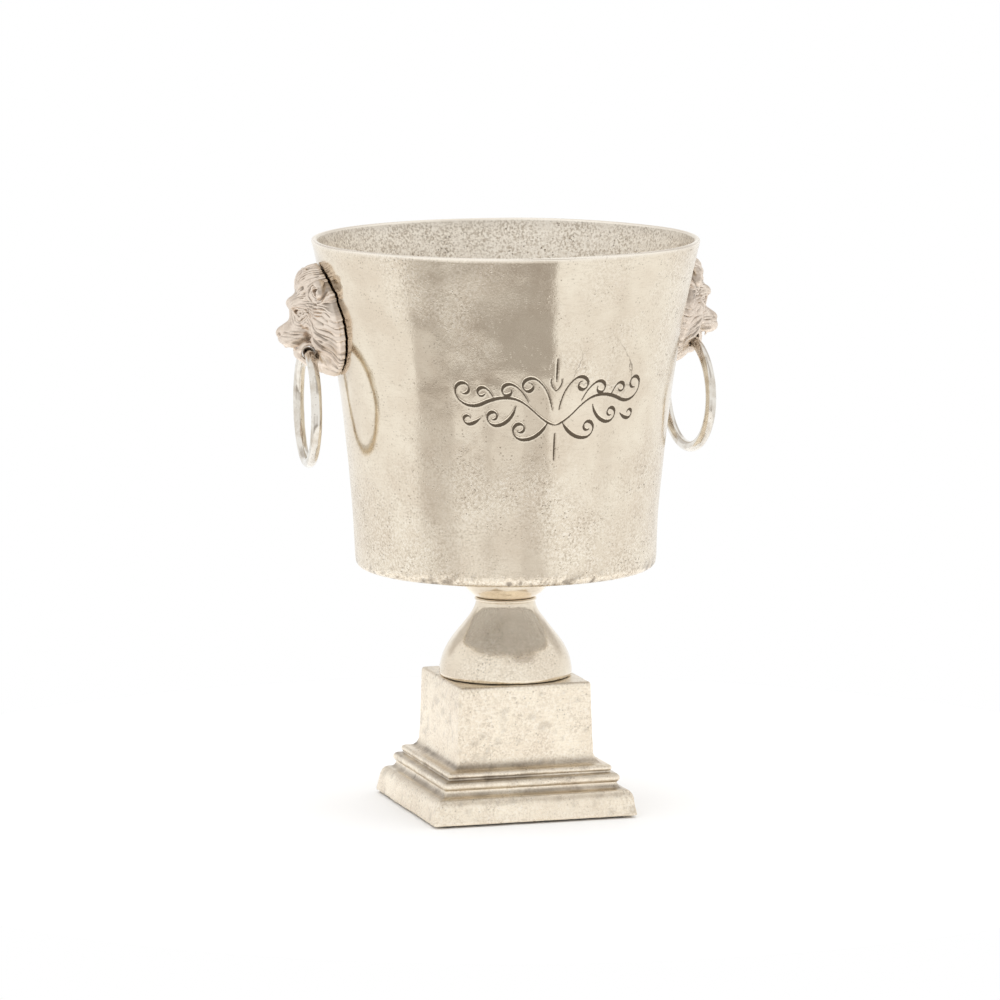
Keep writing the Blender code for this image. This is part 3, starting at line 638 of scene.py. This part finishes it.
def plinth_outline():
    """Half-side and height of the plinth's outside, from the foot up to the edge of the die's top."""
    foot, top = PLINTH_LOW[2], PLINTH_HIGH[2]
    half = PLINTH_HIGH[0]
    outline = [(half - 0.9 * MM, foot), (half - 0.2 * MM, foot + 0.3 * MM), (half, foot + 1.2 * MM)]
    outline += in_mm((66.9, 8), (66.1, 13), (65.2, 15.4), (63.8, 17.2), (62.4, 18), (60.6, 18.2), (59, 19))
    outline += in_mm((58, 20.4), (57.5, 22)) + arc((56 * MM, 25 * MM), 3 * MM, -56, 78, 10)
    outline += in_mm((54.2, 28.4)) + arc((52.6 * MM, 31 * MM), 2.2 * MM, -50, 78, 8)
    outline += in_mm((50.4, 33.3), (48.4, 34.2), (47, 35.6), (46.2, 37), (45.4, 39))
    return outline + [(44 * MM, top - 1.6 * MM), (43.7 * MM, top - 0.6 * MM), (PLINTH_TOP_HALF, top)]


def square_row(half, corner, side_steps, corner_steps):
    """Points round a square of that half-side, with rounded corners, evenly spread along each side."""
    points = []
    for quarter in range(4):
        turn = Matrix.Rotation(quarter * math.pi / 2, 2)
        straight = half - corner
        side = [(half, -straight + 2 * straight * i / side_steps) for i in range(side_steps)]
        angles = [math.pi / 2 * i / corner_steps for i in range(corner_steps)]
        bend = [(straight + corner * math.cos(a), straight + corner * math.sin(a)) for a in angles]
        points += [turn @ Vector(p) for p in side + bend]
    return np.array([(p.x, p.y) for p in points])


def build_plinth(material):
    """The hollow plinth, with softened arrises, uneven mouldings and a landing over each pad."""
    side_steps, corner_steps = 56, 5
    outside = refined(plinth_outline(), 1.7 * MM)
    top_z, foot = PLINTH_HIGH[2], PLINTH_LOW[2]
    rows = [(half, PLINTH_CORNER, z) for half, z in outside]
    for share in np.linspace(0.08, 1, 12):
        half = PLINTH_TOP_HALF + (ROD_HOLE - PLINTH_TOP_HALF) * share
        rows.append((half, PLINTH_CORNER + (ROD_HOLE - PLINTH_CORNER) * share, top_z))
    ceiling = top_z - 5 * MM
    rows.append((ROD_HOLE, ROD_HOLE, ceiling))
    inside = [(8 * MM, ceiling), (39.5 * MM, ceiling)] + in_mm((40.5, 39), (52, 20), (62, 11))
    rows += [(half, 2 * MM, z) for half, z in refined(inside + [(63.5 * MM, foot)], 5 * MM)]
    points = []
    for half, corner, z in rows:
        flat = square_row(half, corner, side_steps, corner_steps)
        points.append(np.column_stack((flat, np.full(len(flat), z))))
    points = np.array(points)
    level = points * (1, 1, 0)
    outward = level / np.maximum(np.linalg.norm(level, axis=-1, keepdims=True), 1e-9)
    share = np.clip(np.abs(points[..., :2]).max(-1) / (40 * MM) - 0.6, 0, 1)
    moulding = np.clip(1 - np.abs(points[..., 2] - 31 * MM) / (9 * MM), 0, 1)
    shift = 0.30 * MM * layered_noise(points, 17 * MM, 3, 60)
    shift = shift + 0.22 * MM * moulding * lattice_noise(points, 3.5 * MM, 64)
    chipped = layered_noise(points, 5 * MM, 2, 69)
    shift = shift - 0.35 * MM * faded(chipped, 0.45, 0.5)
    points += outward * (shift * share)[..., None]
    on_top = (np.array([row[2] for row in rows]) > top_z - 1 * MM)[:, None] * np.clip(share * 2, 0, 1)
    points[..., 2] += on_top * 0.25 * MM * (lattice_noise(points, 14 * MM, 66) - 1) * 0.5
    faces = grid_faces(len(rows), points.shape[1], True)
    plinth = mesh_object("plinth_casting", points.reshape(-1, 3), faces, material, sharp=50)
    # Darker between the mouldings, from grime and painted shade together, and dirt in the chips.
    dirt_and_shade = sum(np.exp(-(((points[..., 2] - z * MM) / (1.5 * MM)) ** 4)) for z in PLINTH_HOLLOWS)
    dirt_and_shade = dirt_and_shade * (0.55 + 0.3 * lattice_noise(points, 9 * MM, 68)) + 0.25 * faded(chipped, 0.35, 0.4)
    store(plinth.data, "hollow", np.clip(dirt_and_shade, 0, 1) * (share > 0.05))
    weld(plinth.data)
    fixed(plinth, "cast_nickel", "plinth")
    for node in nodes_named("foot_pad"):
        low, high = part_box(node)
        x, y = (low[0] + high[0]) / 2, (low[1] + high[1]) / 2
        outline = [(0, foot), (8.2 * MM, foot), (8.6 * MM, foot + 0.4 * MM), (8.9 * MM, 9 * MM), (0, 9 * MM)]
        landing = capped(node.replace("foot_pad", "pad_landing"), outline, material)
        landing.location = (x, y, 0)
        fixed(landing, "cast_nickel")


# --- lion heads ---
# Worked out in the head's own frame, in millimetres: out of the wall, sideways, and up the wall.
VOXEL = 0.4
SHELL = 3.8
HEAD_GAP = 0.75  # between the wall and the head's edge, at its middle
SKIRT = 3.5  # height over which the edge drops straight to the wall
JAW_CLEARANCE = 0.65
RING_SWING = (-20, 144)  # degrees from hanging that the head leaves room for
BOSS, SCREW_HOLE = 4.6, 2.3  # radii
BOSS_TOP, SCREW_DEPTH = 12.5, 8.3


def wall_lean():
    rise = RIM_Z - BOWL_BASE_Z
    return math.atan((FLARE_LINEAR + 2 * FLARE_CURVED * (HEAD_Z - BOWL_BASE_Z) / rise) / rise)


def outward_of(side):
    """Level unit vector from the bowl's axis to the head on that side: -1 left, +1 right."""
    return Vector((side * math.cos(HEAD_SETBACK), math.sin(HEAD_SETBACK), 0))


def head_frame(side):
    level, lean = outward_of(side), wall_lean()
    x_axis = level * math.cos(lean) - Vector((0, 0, math.sin(lean)))
    z_axis = level * math.sin(lean) + Vector((0, 0, math.cos(lean)))
    matrix = Matrix((x_axis, z_axis.cross(x_axis), z_axis)).transposed().to_4x4()
    matrix.translation = level * float(wall_radius(HEAD_Z)) + Vector((0, 0, HEAD_Z))
    return matrix


def ball(p, centre, sizes):
    """Rough signed distance to an ellipsoid with those half-sizes."""
    q = (p - centre) / sizes
    length = np.linalg.norm(q, axis=-1)
    slope = np.linalg.norm(q / sizes, axis=-1)
    return length * (length - 1) / np.maximum(slope, 1e-6)


def rod(p, start, end, start_radius, end_radius):
    """Signed distance to a tapered, round-ended rod."""
    start, end = np.array(start, float), np.array(end, float)
    along = np.clip(((p - start) @ (end - start)) / ((end - start) @ (end - start)), 0, 1)
    nearest = start + along[..., None] * (end - start)
    return np.linalg.norm(p - nearest, axis=-1) - (start_radius + (end_radius - start_radius) * along)


def melt(a, b, width):
    """Union of two forms, with a fillet about that wide between them."""
    h = np.clip(0.5 + 0.5 * (b - a) / width, 0, 1)
    return b + (a - b) * h - width * h * (1 - h)


def carve(a, b, width):
    """a with b cut away, and a rounded edge about that wide."""
    return -melt(-a, b, width)


# Each form of the face: its shape, whether it is added or cut away, the width of the blend, and its places
# and sizes. Only one side is given; sideways is never negative in a folded face.
FACE = (
    (ball, melt, 6, (4.5, 0, 11), (13.5, 21, 24)),  # skull
    (ball, melt, 4, (9, 0, 22), (8.6, 15, 13)),  # forehead
    (ball, melt, 5, (6.5, 0, -24), (8.5, 16, 9)),  # beard
    (ball, melt, 5, (8, 16.5, -4), (8.6, 9.5, 14)),  # cheek
    (ball, melt, 3.5, (17.5, 5.6, 14.4), (7.4, 7.4, 5)),  # brow
    (ball, melt, 3, (14, 11.4, 2.6), (6.6, 5.4, 4.6)),  # cheekbone
    (rod, melt, 2.5, (19, 0, 11), (20.6, 0, 4.5), 5.3, 5.0),  # root of the nose
    (rod, melt, 2, (21, 0, 1.6), (31, 0, -2.2), 4.9, 4.4),  # bridge of the nose
    (ball, melt, 3, (22, 0, -5), (11.5, 10.8, 7)),  # muzzle
    (rod, melt, 3, (18.6, 6, 3.5), (24.5, 5.2, -2.5), 4.0, 4.4),  # side of the nose
    (ball, melt, 1.6, (27, 5.4, -6.4), (7.2, 6, 5.6)),  # whisker pad
    (ball, melt, 1, (31.8, 0, -1.7), (3.7, 5.4, 3)),  # nose
    (ball, melt, 0.8, (29.5, 0, -8.4), (3.6, 1.6, 4.2)),  # middle of the lip
    (ball, carve, 2.5, (15.6, 15.4, -3.8), (4.2, 3.8, 4.0)),  # hollow of the cheek
    (ball, carve, 0.6, (35.2, 3.4, -2.2), (2.6, 1.4, 1.1)),  # nostril
    (ball, carve, 0.7, (33.6, 0, -8.4), (2.8, 0.7, 3.8)),  # cleft of the lip
    (ball, carve, 1.2, (21.4, 10.8, 9.2), (4.6, 4.4, 4.4)),  # eye socket
    (ball, melt, 0.3, (17.2, 8.2, 9.2), (3.9, 3.7, 3.6)),  # eyeball
    (ball, carve, 0.3, (20.2, 11.2, 9.4), (1.5, 1.2, 1.5)),  # pupil
    (rod, melt, 0.7, (23, 5.8, 11.8), (20.6, 9.8, 13.2), 1.0, 1.1),  # upper lid
    (rod, melt, 0.7, (20.6, 9.8, 13.2), (15.8, 13.2, 9.8), 1.1, 0.8),
    (rod, melt, 0.7, (23, 6, 10.4), (20.6, 10, 5.6), 0.9, 1.0),  # lower lid
    (rod, melt, 0.7, (20.6, 10, 5.6), (15.8, 13.2, 8.6), 1.0, 0.8),
    (ball, melt, 1.2, (6.0, 20.6, 23.4), (4.6, 5.2, 6.6)),  # ear
    (ball, carve, 0.6, (10.0, 21.6, 22.6), (5.4, 2.9, 4.4)),
    (ball, melt, 1.5, (17.5, 0, -14), (9.5, 8.6, 6)),  # tongue, round the back of the ring
    (ball, carve, 0.8, (19, 9.4, -12.6), (8.5, 2.0, 1.3)),  # corner of the mouth
    (ball, carve, 0.8, (27.5, 0, -13.2), (4.0, 9, 1.3)),  # parting of the lips
    (ball, melt, 1, (24, 0, -17.6), (2.9, 5.2, 3.0)),  # lower jaw, hooked under the ring
    (rod, melt, 1.5, (23.6, 3.2, -19.6), (19, 4.2, -23.8), 2.0, 2.2),
    (rod, melt, 2, (19, 4.2, -23.8), (8, 7, -24.5), 2.2, 4.0),
    (rod, melt, 0.4, (27.4, 6.4, -9.6), (26.6, 6.2, -13.6), 1.2, 0.5),  # fang
)


def head_distance(p):
    """Signed distance to a lion head without its hair, for points folded to one side of the face."""
    form = ball(p, (0.5, 0, 0), (10, 32.5, 36))
    for shape, action, width, *sizes in FACE:
        form = action(form, shape(p, *sizes), width)
    return form


def combed(across, along, count, seed):
    """Strands of uneven width that start and end: noise drawn out along the hair, from about -1 to 1."""
    place = np.stack((across * count, along * count / 8, 0 * across), -1)
    return np.clip(2.3 * lattice_noise(place, 1.0, seed), -1.1, 1.1)


def hair(p):
    """Height of the hair, whisker grooves and creases over the plain form, in millimetres."""
    out, side, up = p[..., 0], p[..., 1], p[..., 2]
    wander = lattice_noise(p, 9.0, 70)
    angle, reach = np.arctan2(side, up - 4), np.hypot(side, up - 4)
    swirl = np.log(np.maximum(reach, 6) / 15)
    across, along = angle - 0.8 * swirl + 0.05 * wander, 0.8 * angle + swirl
    strands = combed(across, along, 30, 71)
    locks = combed(across, along, 8, 72)

    ear_reach = np.linalg.norm((p - (7, 20.6, 22.5)) * (0.5, 1, 0.85), axis=-1)
    ear_turn = np.arctan2(side - 20.6, up - 22.5)
    near_ear = faded(ear_reach, 9.5, -3)
    arcs = 0.8 * combed(ear_reach / 20 + 0.04 * wander, 0.3 * ear_turn, 28, 73)
    strands = strands + near_ear * (arcs - strands)
    locks = locks * (1 - near_ear)

    curls = lattice_noise(p, 3.4, 75)
    crown = faded(up, 22, 5) * faded(side, 17, -5)
    strands = np.clip(strands + crown * (1.6 * curls - 0.6 * strands), -0.9, 1.2)
    in_mane = faded(reach - 3 * np.cos(angle), 15, 4) * faded(out, 19, -3)
    bare = faded(np.hypot((side - 27) / 6, (up + 14) / 8), 1, -0.4)
    in_mane = in_mane * (1 - 0.85 * bare)

    pad = faded(np.linalg.norm((p - (26, 7, -5.5)) / (10, 7, 6), axis=-1), 1, -0.3)
    whiskers = combed((up - 0.25 * out + 0.9 * wander) / 20, out / 20, 22, 74)
    eye_reach = np.linalg.norm(p - (18.5, 9.6, 9.4), axis=-1)
    round_eye = faded(eye_reach, 12, -3) * faded(eye_reach, 5.6, 1) * (1 - in_mane) * (1 - pad)
    creases = np.cos(math.tau * eye_reach / 1.9 + 1.5 * wander)
    temple = faded(reach, 7, 4) * (1 - in_mane) * faded(out, 21, -3) * faded(up, 6, 3)
    height = in_mane * (0.65 * strands + 0.5 * locks) + 0.45 * pad * whiskers + 0.13 * round_eye * creases
    return height + 0.2 * temple * strands + 0.10 * curls


def ring_room(p):
    """Signed distance to all that the ring passes through as it swings, measured round its pivot."""
    pivot = head_frame(1).inverted() @ (outward_of(1) * RING_DISTANCE + Vector((0, 0, RING_PIVOT_Z)))
    lean, out, up = wall_lean(), p[..., 0] - pivot.x / MM, p[..., 2] - pivot.z / MM
    level = out * math.cos(lean) + up * math.sin(lean)
    rise = up * math.cos(lean) - out * math.sin(lean)
    reach, turned_by = np.hypot(level, rise), np.degrees(np.arctan2(level, -rise))
    mean = RING_MEAN / MM
    nearest = np.full(reach.shape, np.inf)
    for swing in (np.clip(turned_by, *RING_SWING), *RING_SWING):
        off = np.radians(turned_by - swing)
        hoop = np.hypot(p[..., 1], reach * np.cos(off) - mean) - mean
        nearest = np.minimum(nearest, np.hypot(hoop, reach * np.sin(off)))
    return nearest - RING_TUBE / MM - JAW_CLEARANCE


def wall_distance(p):
    """Distance outside the bowl's wall, in millimetres."""
    frame_matrix = np.array(head_frame(1))
    world = p * MM @ frame_matrix[:3, :3].T + frame_matrix[:3, 3]
    radius = np.hypot(world[..., 0], world[..., 1])
    return (radius - wall_radius(world[..., 2])) * math.cos(wall_lean()) / MM


def straightened(p, gap):
    """The places whose outline each place takes: near the wall the head goes straight down to it."""
    upright = p.copy()
    upright[..., 0] += np.maximum(SKIRT - gap, 0)
    return upright


def head_field():
    """Signed distance of a whole head on a grid, and the grid's lowest corner. One half is worked out."""
    low, high = np.array((-8.0, 0.0, -38.0)), np.array((38.0, 35.5, 39.5))
    axes = [np.arange(low[i], high[i], VOXEL) for i in range(3)]
    p = np.stack(np.meshgrid(*axes, indexing="ij"), -1)
    gap = wall_distance(p)
    stand_off = HEAD_GAP + 0.0002 * p[..., 1] ** 2
    upright = straightened(p, gap)
    form = carve(head_distance(upright) - hair(upright), ring_room(p), 0.5)
    shell = np.maximum(form, -form - SHELL)
    shell = np.maximum(shell, stand_off - gap)
    for up in (SCREW_OFFSET / MM, -SCREW_OFFSET / MM):
        across = np.hypot(p[..., 1], p[..., 2] - up)
        boss = np.maximum(np.maximum(across - BOSS, p[..., 0] - BOSS_TOP), np.maximum(0.3 - gap, form))
        shell = np.minimum(shell, boss)
        shell = np.maximum(shell, -np.maximum(across - SCREW_HOLE, p[..., 0] - SCREW_DEPTH))
    whole = np.concatenate((shell[:, :0:-1], shell), axis=1)
    return whole, np.array((low[0], -axes[1][-1], low[2]))


def surface_nets(field, low, spacing):
    """Vertices and quads of the surface where field is zero: one vertex in each cell that it crosses."""
    inside = field < 0
    corners = np.stack([inside[i:field.shape[0] - 1 + i, j:field.shape[1] - 1 + j, k:field.shape[2] - 1 + k]
                        for i, j, k in np.ndindex(2, 2, 2)])
    crossed = corners.any(0) & ~corners.all(0)
    cells = np.argwhere(crossed)
    number = np.full(crossed.shape, -1)
    number[crossed] = np.arange(len(cells))
    total, count = np.zeros((len(cells), 3)), np.zeros(len(cells))
    for corner in np.ndindex(2, 2, 2):
        for axis in range(3):
            if corner[axis]:
                continue
            other = np.array(corner)
            other[axis] = 1
            a, b = field[tuple((cells + corner).T)], field[tuple((cells + other).T)]
            cut = (a < 0) != (b < 0)
            share = np.where(cut, a / np.where(cut, a - b, 1), 0)
            point = cells + np.array(corner, float)
            point[:, axis] += share
            total += np.where(cut[:, None], point, 0)
            count += cut
    verts = low + spacing * total / count[:, None]
    quads = []
    for axis in range(3):
        u, v = (axis + 1) % 3, (axis + 2) % 3
        step = np.eye(3, dtype=int)
        near = np.take(inside, range(inside.shape[axis] - 1), axis)
        far = np.take(inside, range(1, inside.shape[axis]), axis)
        edges = np.argwhere(near != far)
        edges = edges[(edges[:, u] > 0) & (edges[:, v] > 0)]
        edges = edges[(edges[:, u] < field.shape[u] - 1) & (edges[:, v] < field.shape[v] - 1)]
        shifts = (step[u] + step[v], step[v], 0 * step[u], step[u])
        quad = np.stack([number[tuple((edges - shift).T)] for shift in shifts], 1)
        flip = ~inside[tuple(edges.T)]
        quad[flip] = quad[flip][:, ::-1]
        quads.append(quad)
    return verts, np.concatenate(quads)


def build_heads(material):
    """One head from the field, thinned out, and a copy of it on each side of the bowl."""
    field, low = head_field()
    verts, quads = surface_nets(field, low, VOXEL)
    mesh_source = mesh_object("lion_head_casting_left", verts * MM, quads, material)
    smooth = mesh_source.modifiers.new("soften the steps", "SMOOTH")
    smooth.factor, smooth.iterations = 0.3, 1
    thin = mesh_source.modifiers.new("thin out the flat places", "DECIMATE")
    thin.ratio = 0.58
    bpy.context.view_layer.update()
    graph = bpy.context.evaluated_depsgraph_get()
    mesh = bpy.data.meshes.new_from_object(mesh_source.evaluated_get(graph))
    bpy.data.objects.remove(mesh_source)
    drop_strays(mesh)
    add_hollows(mesh)
    for side, name in ((-1, "left"), (1, "right")):
        copy = mesh.copy()
        copy.transform(head_frame(side))
        copy.update()
        head = new_object(f"lion_head_casting_{name}", copy)
        fixed(head, "cast_head_nickel", f"lion_head_{name}")


def drop_strays(mesh):
    """Removes doubled faces and faces joined to nothing, before both heads share the mesh's arrays."""
    mesh.validate()
    bm = bmesh.new()
    bm.from_mesh(mesh)
    lone = [face for face in bm.faces if all(edge.is_boundary for edge in face.edges)]
    bmesh.ops.delete(bm, geom=lone, context="FACES")
    bm.to_mesh(mesh)
    bm.free()


def add_hollows(mesh):
    """Stores how dark each place is painted, from 0 to 1: patina and painted shade in the hollows and
    hair grooves, and painted shade along the edge that lies against the wall.
    """
    count = len(mesh.vertices)
    place, normal = np.zeros(count * 3), np.zeros(count * 3)
    mesh.vertices.foreach_get("co", place)
    mesh.vertices.foreach_get("normal", normal)
    place, normal = place.reshape(-1, 3), normal.reshape(-1, 3)
    edges = np.zeros(len(mesh.edges) * 2, int)
    mesh.edges.foreach_get("vertices", edges)
    edges = edges.reshape(-1, 2)
    rise, links = np.zeros(count), np.zeros(count)
    for a, b in ((0, 1), (1, 0)):
        here, there = edges[:, a], edges[:, b]
        offset = place[there] - place[here]
        height = (offset * normal[here]).sum(1) / np.maximum(np.linalg.norm(offset, axis=1), 1e-9)
        rise += np.bincount(here, height, count)
        links += np.bincount(here, minlength=count)
    hollow = rise / np.maximum(links, 1)
    for _ in range(2):
        spread = sum(np.bincount(edges[:, a], hollow[edges[:, b]], count) for a, b in ((0, 1), (1, 0)))
        hollow = 0.5 * hollow + 0.5 * spread / np.maximum(links, 1)
    folded = place / MM
    folded[:, 1] = np.abs(folded[:, 1])
    gap = wall_distance(folded)
    groove = np.clip(1.4 * (0.1 - hair(straightened(folded, gap))), 0, 0.8)
    darkening = 0.8 + 0.4 * lattice_noise(folded, 11.0, 78)
    # Painted shade along the head's edge that lies against the wall; it also darkens that edge's reflection
    # in the bowl.
    shade_at_wall = faded(gap, 4.5, -3.5)
    # Patina and painted shade in the hollows and hair grooves, made uneven, plus the painted shade at the
    # wall.
    store(mesh, "hollow", np.clip((hollow * 5.0 + 1.0 * groove) * darkening + 0.45 * shade_at_wall, 0, 0.95))


# --- rings ---
def build_rings(material):
    around, across = 320, 28
    a = np.linspace(0, math.tau, around, endpoint=False)[:, None]
    b = np.linspace(0, math.tau, across, endpoint=False)[None]
    for side, name in ((-1, "left"), (1, "right")):
        seed = 80 + side
        middle = np.concatenate((np.sin(a), np.cos(a), 0 * a), -1) * RING_MEAN
        tube = RING_TUBE * (1 + 0.022 * lattice_noise(middle, 8 * MM, seed))[:, None]
        reach = RING_MEAN + tube * np.cos(b)
        points = np.stack((tube * np.sin(b) + 0 * a, reach * np.sin(a), reach * np.cos(a) - RING_MEAN), -1)
        faces = grid_faces(around, across, True)
        ring = mesh_object(f"ring_rod_{name}", points.reshape(-1, 3), faces, material)
        level = outward_of(side)
        place = Matrix.Rotation(math.atan2(level.y, level.x), 4, "Z")
        place.translation = level * RING_DISTANCE + Vector((0, 0, RING_PIVOT_Z))
        ring.data.transform(place)
        fixed(ring, "polished_nickel", f"ring_{name}", body=f"{name}_ring")


# --- fasteners, seals and pads ---
def give_material(nodes, material):
    for name in nodes:
        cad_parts[name].data.materials.clear()
        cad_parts[name].data.materials.append(material)


def build_round_parts(steel, rubber):
    """Smooth washers, seals and pads in place of the faceted ones."""
    washers = (("bowl_seal", rubber, "black_rubber"), ("bowl_washer", steel, "plated_steel"),
               ("plinth_washer", steel, "plated_steel"))
    for name, material, slot in washers:
        low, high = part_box(name)
        radius, bottom, top = (high[0] - low[0]) / 2, low[2], high[2]
        soft = min(0.3 * MM, (top - bottom) / 4)
        outline = [(ROD_HOLE, bottom), (radius - soft, bottom), (radius, bottom + soft)]
        outline += [(radius, top - soft), (radius - soft, top), (ROD_HOLE, top)]
        fixed(turned(f"{name}_round", outline, material, 72, sharp=30), slot, name)
    for name in nodes_named("foot_pad"):
        low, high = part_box(name)
        radius, bottom, top = (high[0] - low[0]) / 2, low[2], high[2]
        outline = [(0, bottom), (radius - 0.3 * MM, bottom), (radius, bottom + 0.3 * MM)]
        outline += [(radius, top - 0.2 * MM), (radius - 0.2 * MM, top), (0, top)]
        pad = capped(f"{name}_round", outline, rubber)
        pad.location = ((low[0] + high[0]) / 2, (low[1] + high[1]) / 2, 0)
        fixed(pad, "black_rubber", name)


# --- studio ---
VIEW_TURN = math.radians(17)
CAMERA_DISTANCE = 4.2562
CAMERA_HEIGHT = 0.82495
TARGET_HEIGHT = 0.19973
TARGET_ASIDE = -0.00358
LENS = 240.27
FLOOR_RADIUS = 0.48
LAMP_POWER, LAMP_SIZE = 100, 6.0


def build_camera():
    right = Vector((math.cos(VIEW_TURN), -math.sin(VIEW_TURN), 0))
    back = Vector((-math.sin(VIEW_TURN), -math.cos(VIEW_TURN), 0))
    place = right * TARGET_ASIDE + back * CAMERA_DISTANCE + Vector((0, 0, CAMERA_HEIGHT))
    target = right * TARGET_ASIDE + Vector((0, 0, TARGET_HEIGHT))
    camera = new_object("camera", bpy.data.cameras.new("camera"))
    camera.data.lens = LENS
    camera.data.sensor_width = 36
    camera.data.clip_end = 100
    camera.location = place
    camera.rotation_euler = (target - place).to_track_quat("-Z", "Y").to_euler()
    bpy.context.scene.camera = camera


def build_floor():
    """A small round of white paper: past its edge the metal reflects the studio."""
    n = new_material("floor_paper")
    tone = n.mix(n.noise(3, 2, 0.5), PAPER_LIGHT, PAPER_DARK)
    material = n.finish(tone, 0.9, metallic=0.0)
    sides = 96
    angles = np.linspace(0, math.tau, sides, endpoint=False)
    verts = FLOOR_RADIUS * np.stack((np.cos(angles), np.sin(angles), 0 * angles), 1)
    mesh_object("floor", verts, [list(range(sides))], material)


# Dark cards round the camera, which the metal shows as soft-edged bands: left and right bearing, low and
# high elevation, softness of the edges, all in degrees, and the share of light lost.
DARK_TINT = (1.0, 0.88, 0.78)  # the colour of the light that the darkest card leaves
WHITE = (1.0, 1.0, 1.0)
DARK_CARDS = (
    (-66, 34, -33.2, -24.5, 0.6, 0.52),
    (-20, 32, -42, -35.2, 0.8, 0.40),
    (-66, -38, -24.5, -9, 1.0, 0.28),
    (-38, -15, -24.5, -9, 0.8, 0.09),
    (-15, -10, -24.5, -9, 0.8, 0.24),
    (-10, 12, -24.5, -9, 0.8, 0.12),
    (12, 32, -24.5, -9, 0.8, 0.22),
    (72, 86, -24, -10, 3.0, 0.05),
    (12, 60, 30, 74, 3.0, 0.36),
    (125, 165, 12, 50, 6.0, 0.35),
    (-170, -125, 12, 60, 6.0, 0.30),
)


def build_world():
    """A white studio that the metal reflects: bright all round, with darker bands behind the camera."""
    world = bpy.data.worlds.new("studio")
    bpy.context.scene.world = world
    n = Nodes(world)
    turn = n.add("ShaderNodeVectorRotate", Vector=n.coordinates["Generated"], Angle=VIEW_TURN)
    turn.rotation_type = "Z_AXIS"
    split = n.add("ShaderNodeSeparateXYZ", Vector=turn.outputs["Vector"]).outputs

    def band(value, low, high, soft):
        """1 between low and high, 0 elsewhere, with edges that wide on each side of them."""
        rising = n.span(value, low - soft, low + soft, smooth=True)
        falling = n.span(value, high - soft, high + soft, 1.0, 0.0, smooth=True)
        return n.times(rising, falling)

    # Degrees round the horizon from the camera's side, positive to its right, and degrees of elevation.
    bearing = n.times(n.maths("ARCTAN2", split["X"], n.times(split["Y"], -1)), math.degrees(1))
    rise = n.times(n.maths("ARCSINE", split["Z"]), math.degrees(1))
    level = 1.0
    for left, right, low, high, soft, loss in DARK_CARDS:
        card = n.times(band(bearing, left, right, soft), band(rise, low, high, soft))
        level = n.times(level, n.less(1.0, n.times(card, loss)))
    level = n.maths("MAXIMUM", level, n.add("ShaderNodeLightPath").outputs["Is Camera Ray"])
    background = n.tree.nodes["Background"].inputs
    n.put(background["Strength"], level)
    n.put(background["Color"], n.mix(level, DARK_TINT, WHITE))


def build_lights():
    """One overhead softbox that only lifts the floor to white; the metal is lit by the studio itself."""
    light = bpy.data.lights.new("overhead", "AREA")
    light.energy, light.size = LAMP_POWER, LAMP_SIZE
    lamp = new_object("overhead", light)
    lamp.location = (0.3, -0.6, 3.0)
    lamp.visible_glossy = False
    lamp.visible_camera = False


def main():
    outer = cast_metal("cast_nickel_outer")
    turned_cast = cast_metal("cast_nickel_turned", rough=(0.09, 0.2), pits=0.8, patches=(0.30, 0.5))
    sandy = cast_metal("cast_nickel_sandy", NICKEL_SANDY, (0.22, 0.34), 1.0, 0.6, (0.5, 0.75))
    head_metal = cast_metal("cast_nickel_head", NICKEL_HEAD, (0.30, 0.42), 0.8, 0.6)
    rod_metal = polished_metal("polished_nickel_rod")
    steel = plated_steel("plated_steel_fastener")
    rubber = black_rubber("black_rubber_moulded")
    build_camera()
    build_floor()
    build_world()
    build_lights()
    build_bowl(outer)
    build_collar(turned_cast)
    build_stem(turned_cast)
    build_plinth(sandy)
    build_heads(head_metal)
    build_rings(rod_metal)
    build_round_parts(steel, rubber)
    give_material(["tie_rod", "dome_nut", "lock_washer", "hex_nut"] + nodes_named("head_screw"), steel)
    give_material(nodes_named("head_seal"), rubber)
    scene = bpy.context.scene
    scene.view_settings.view_transform = "Standard"
    scene.view_settings.look = "None"


main()
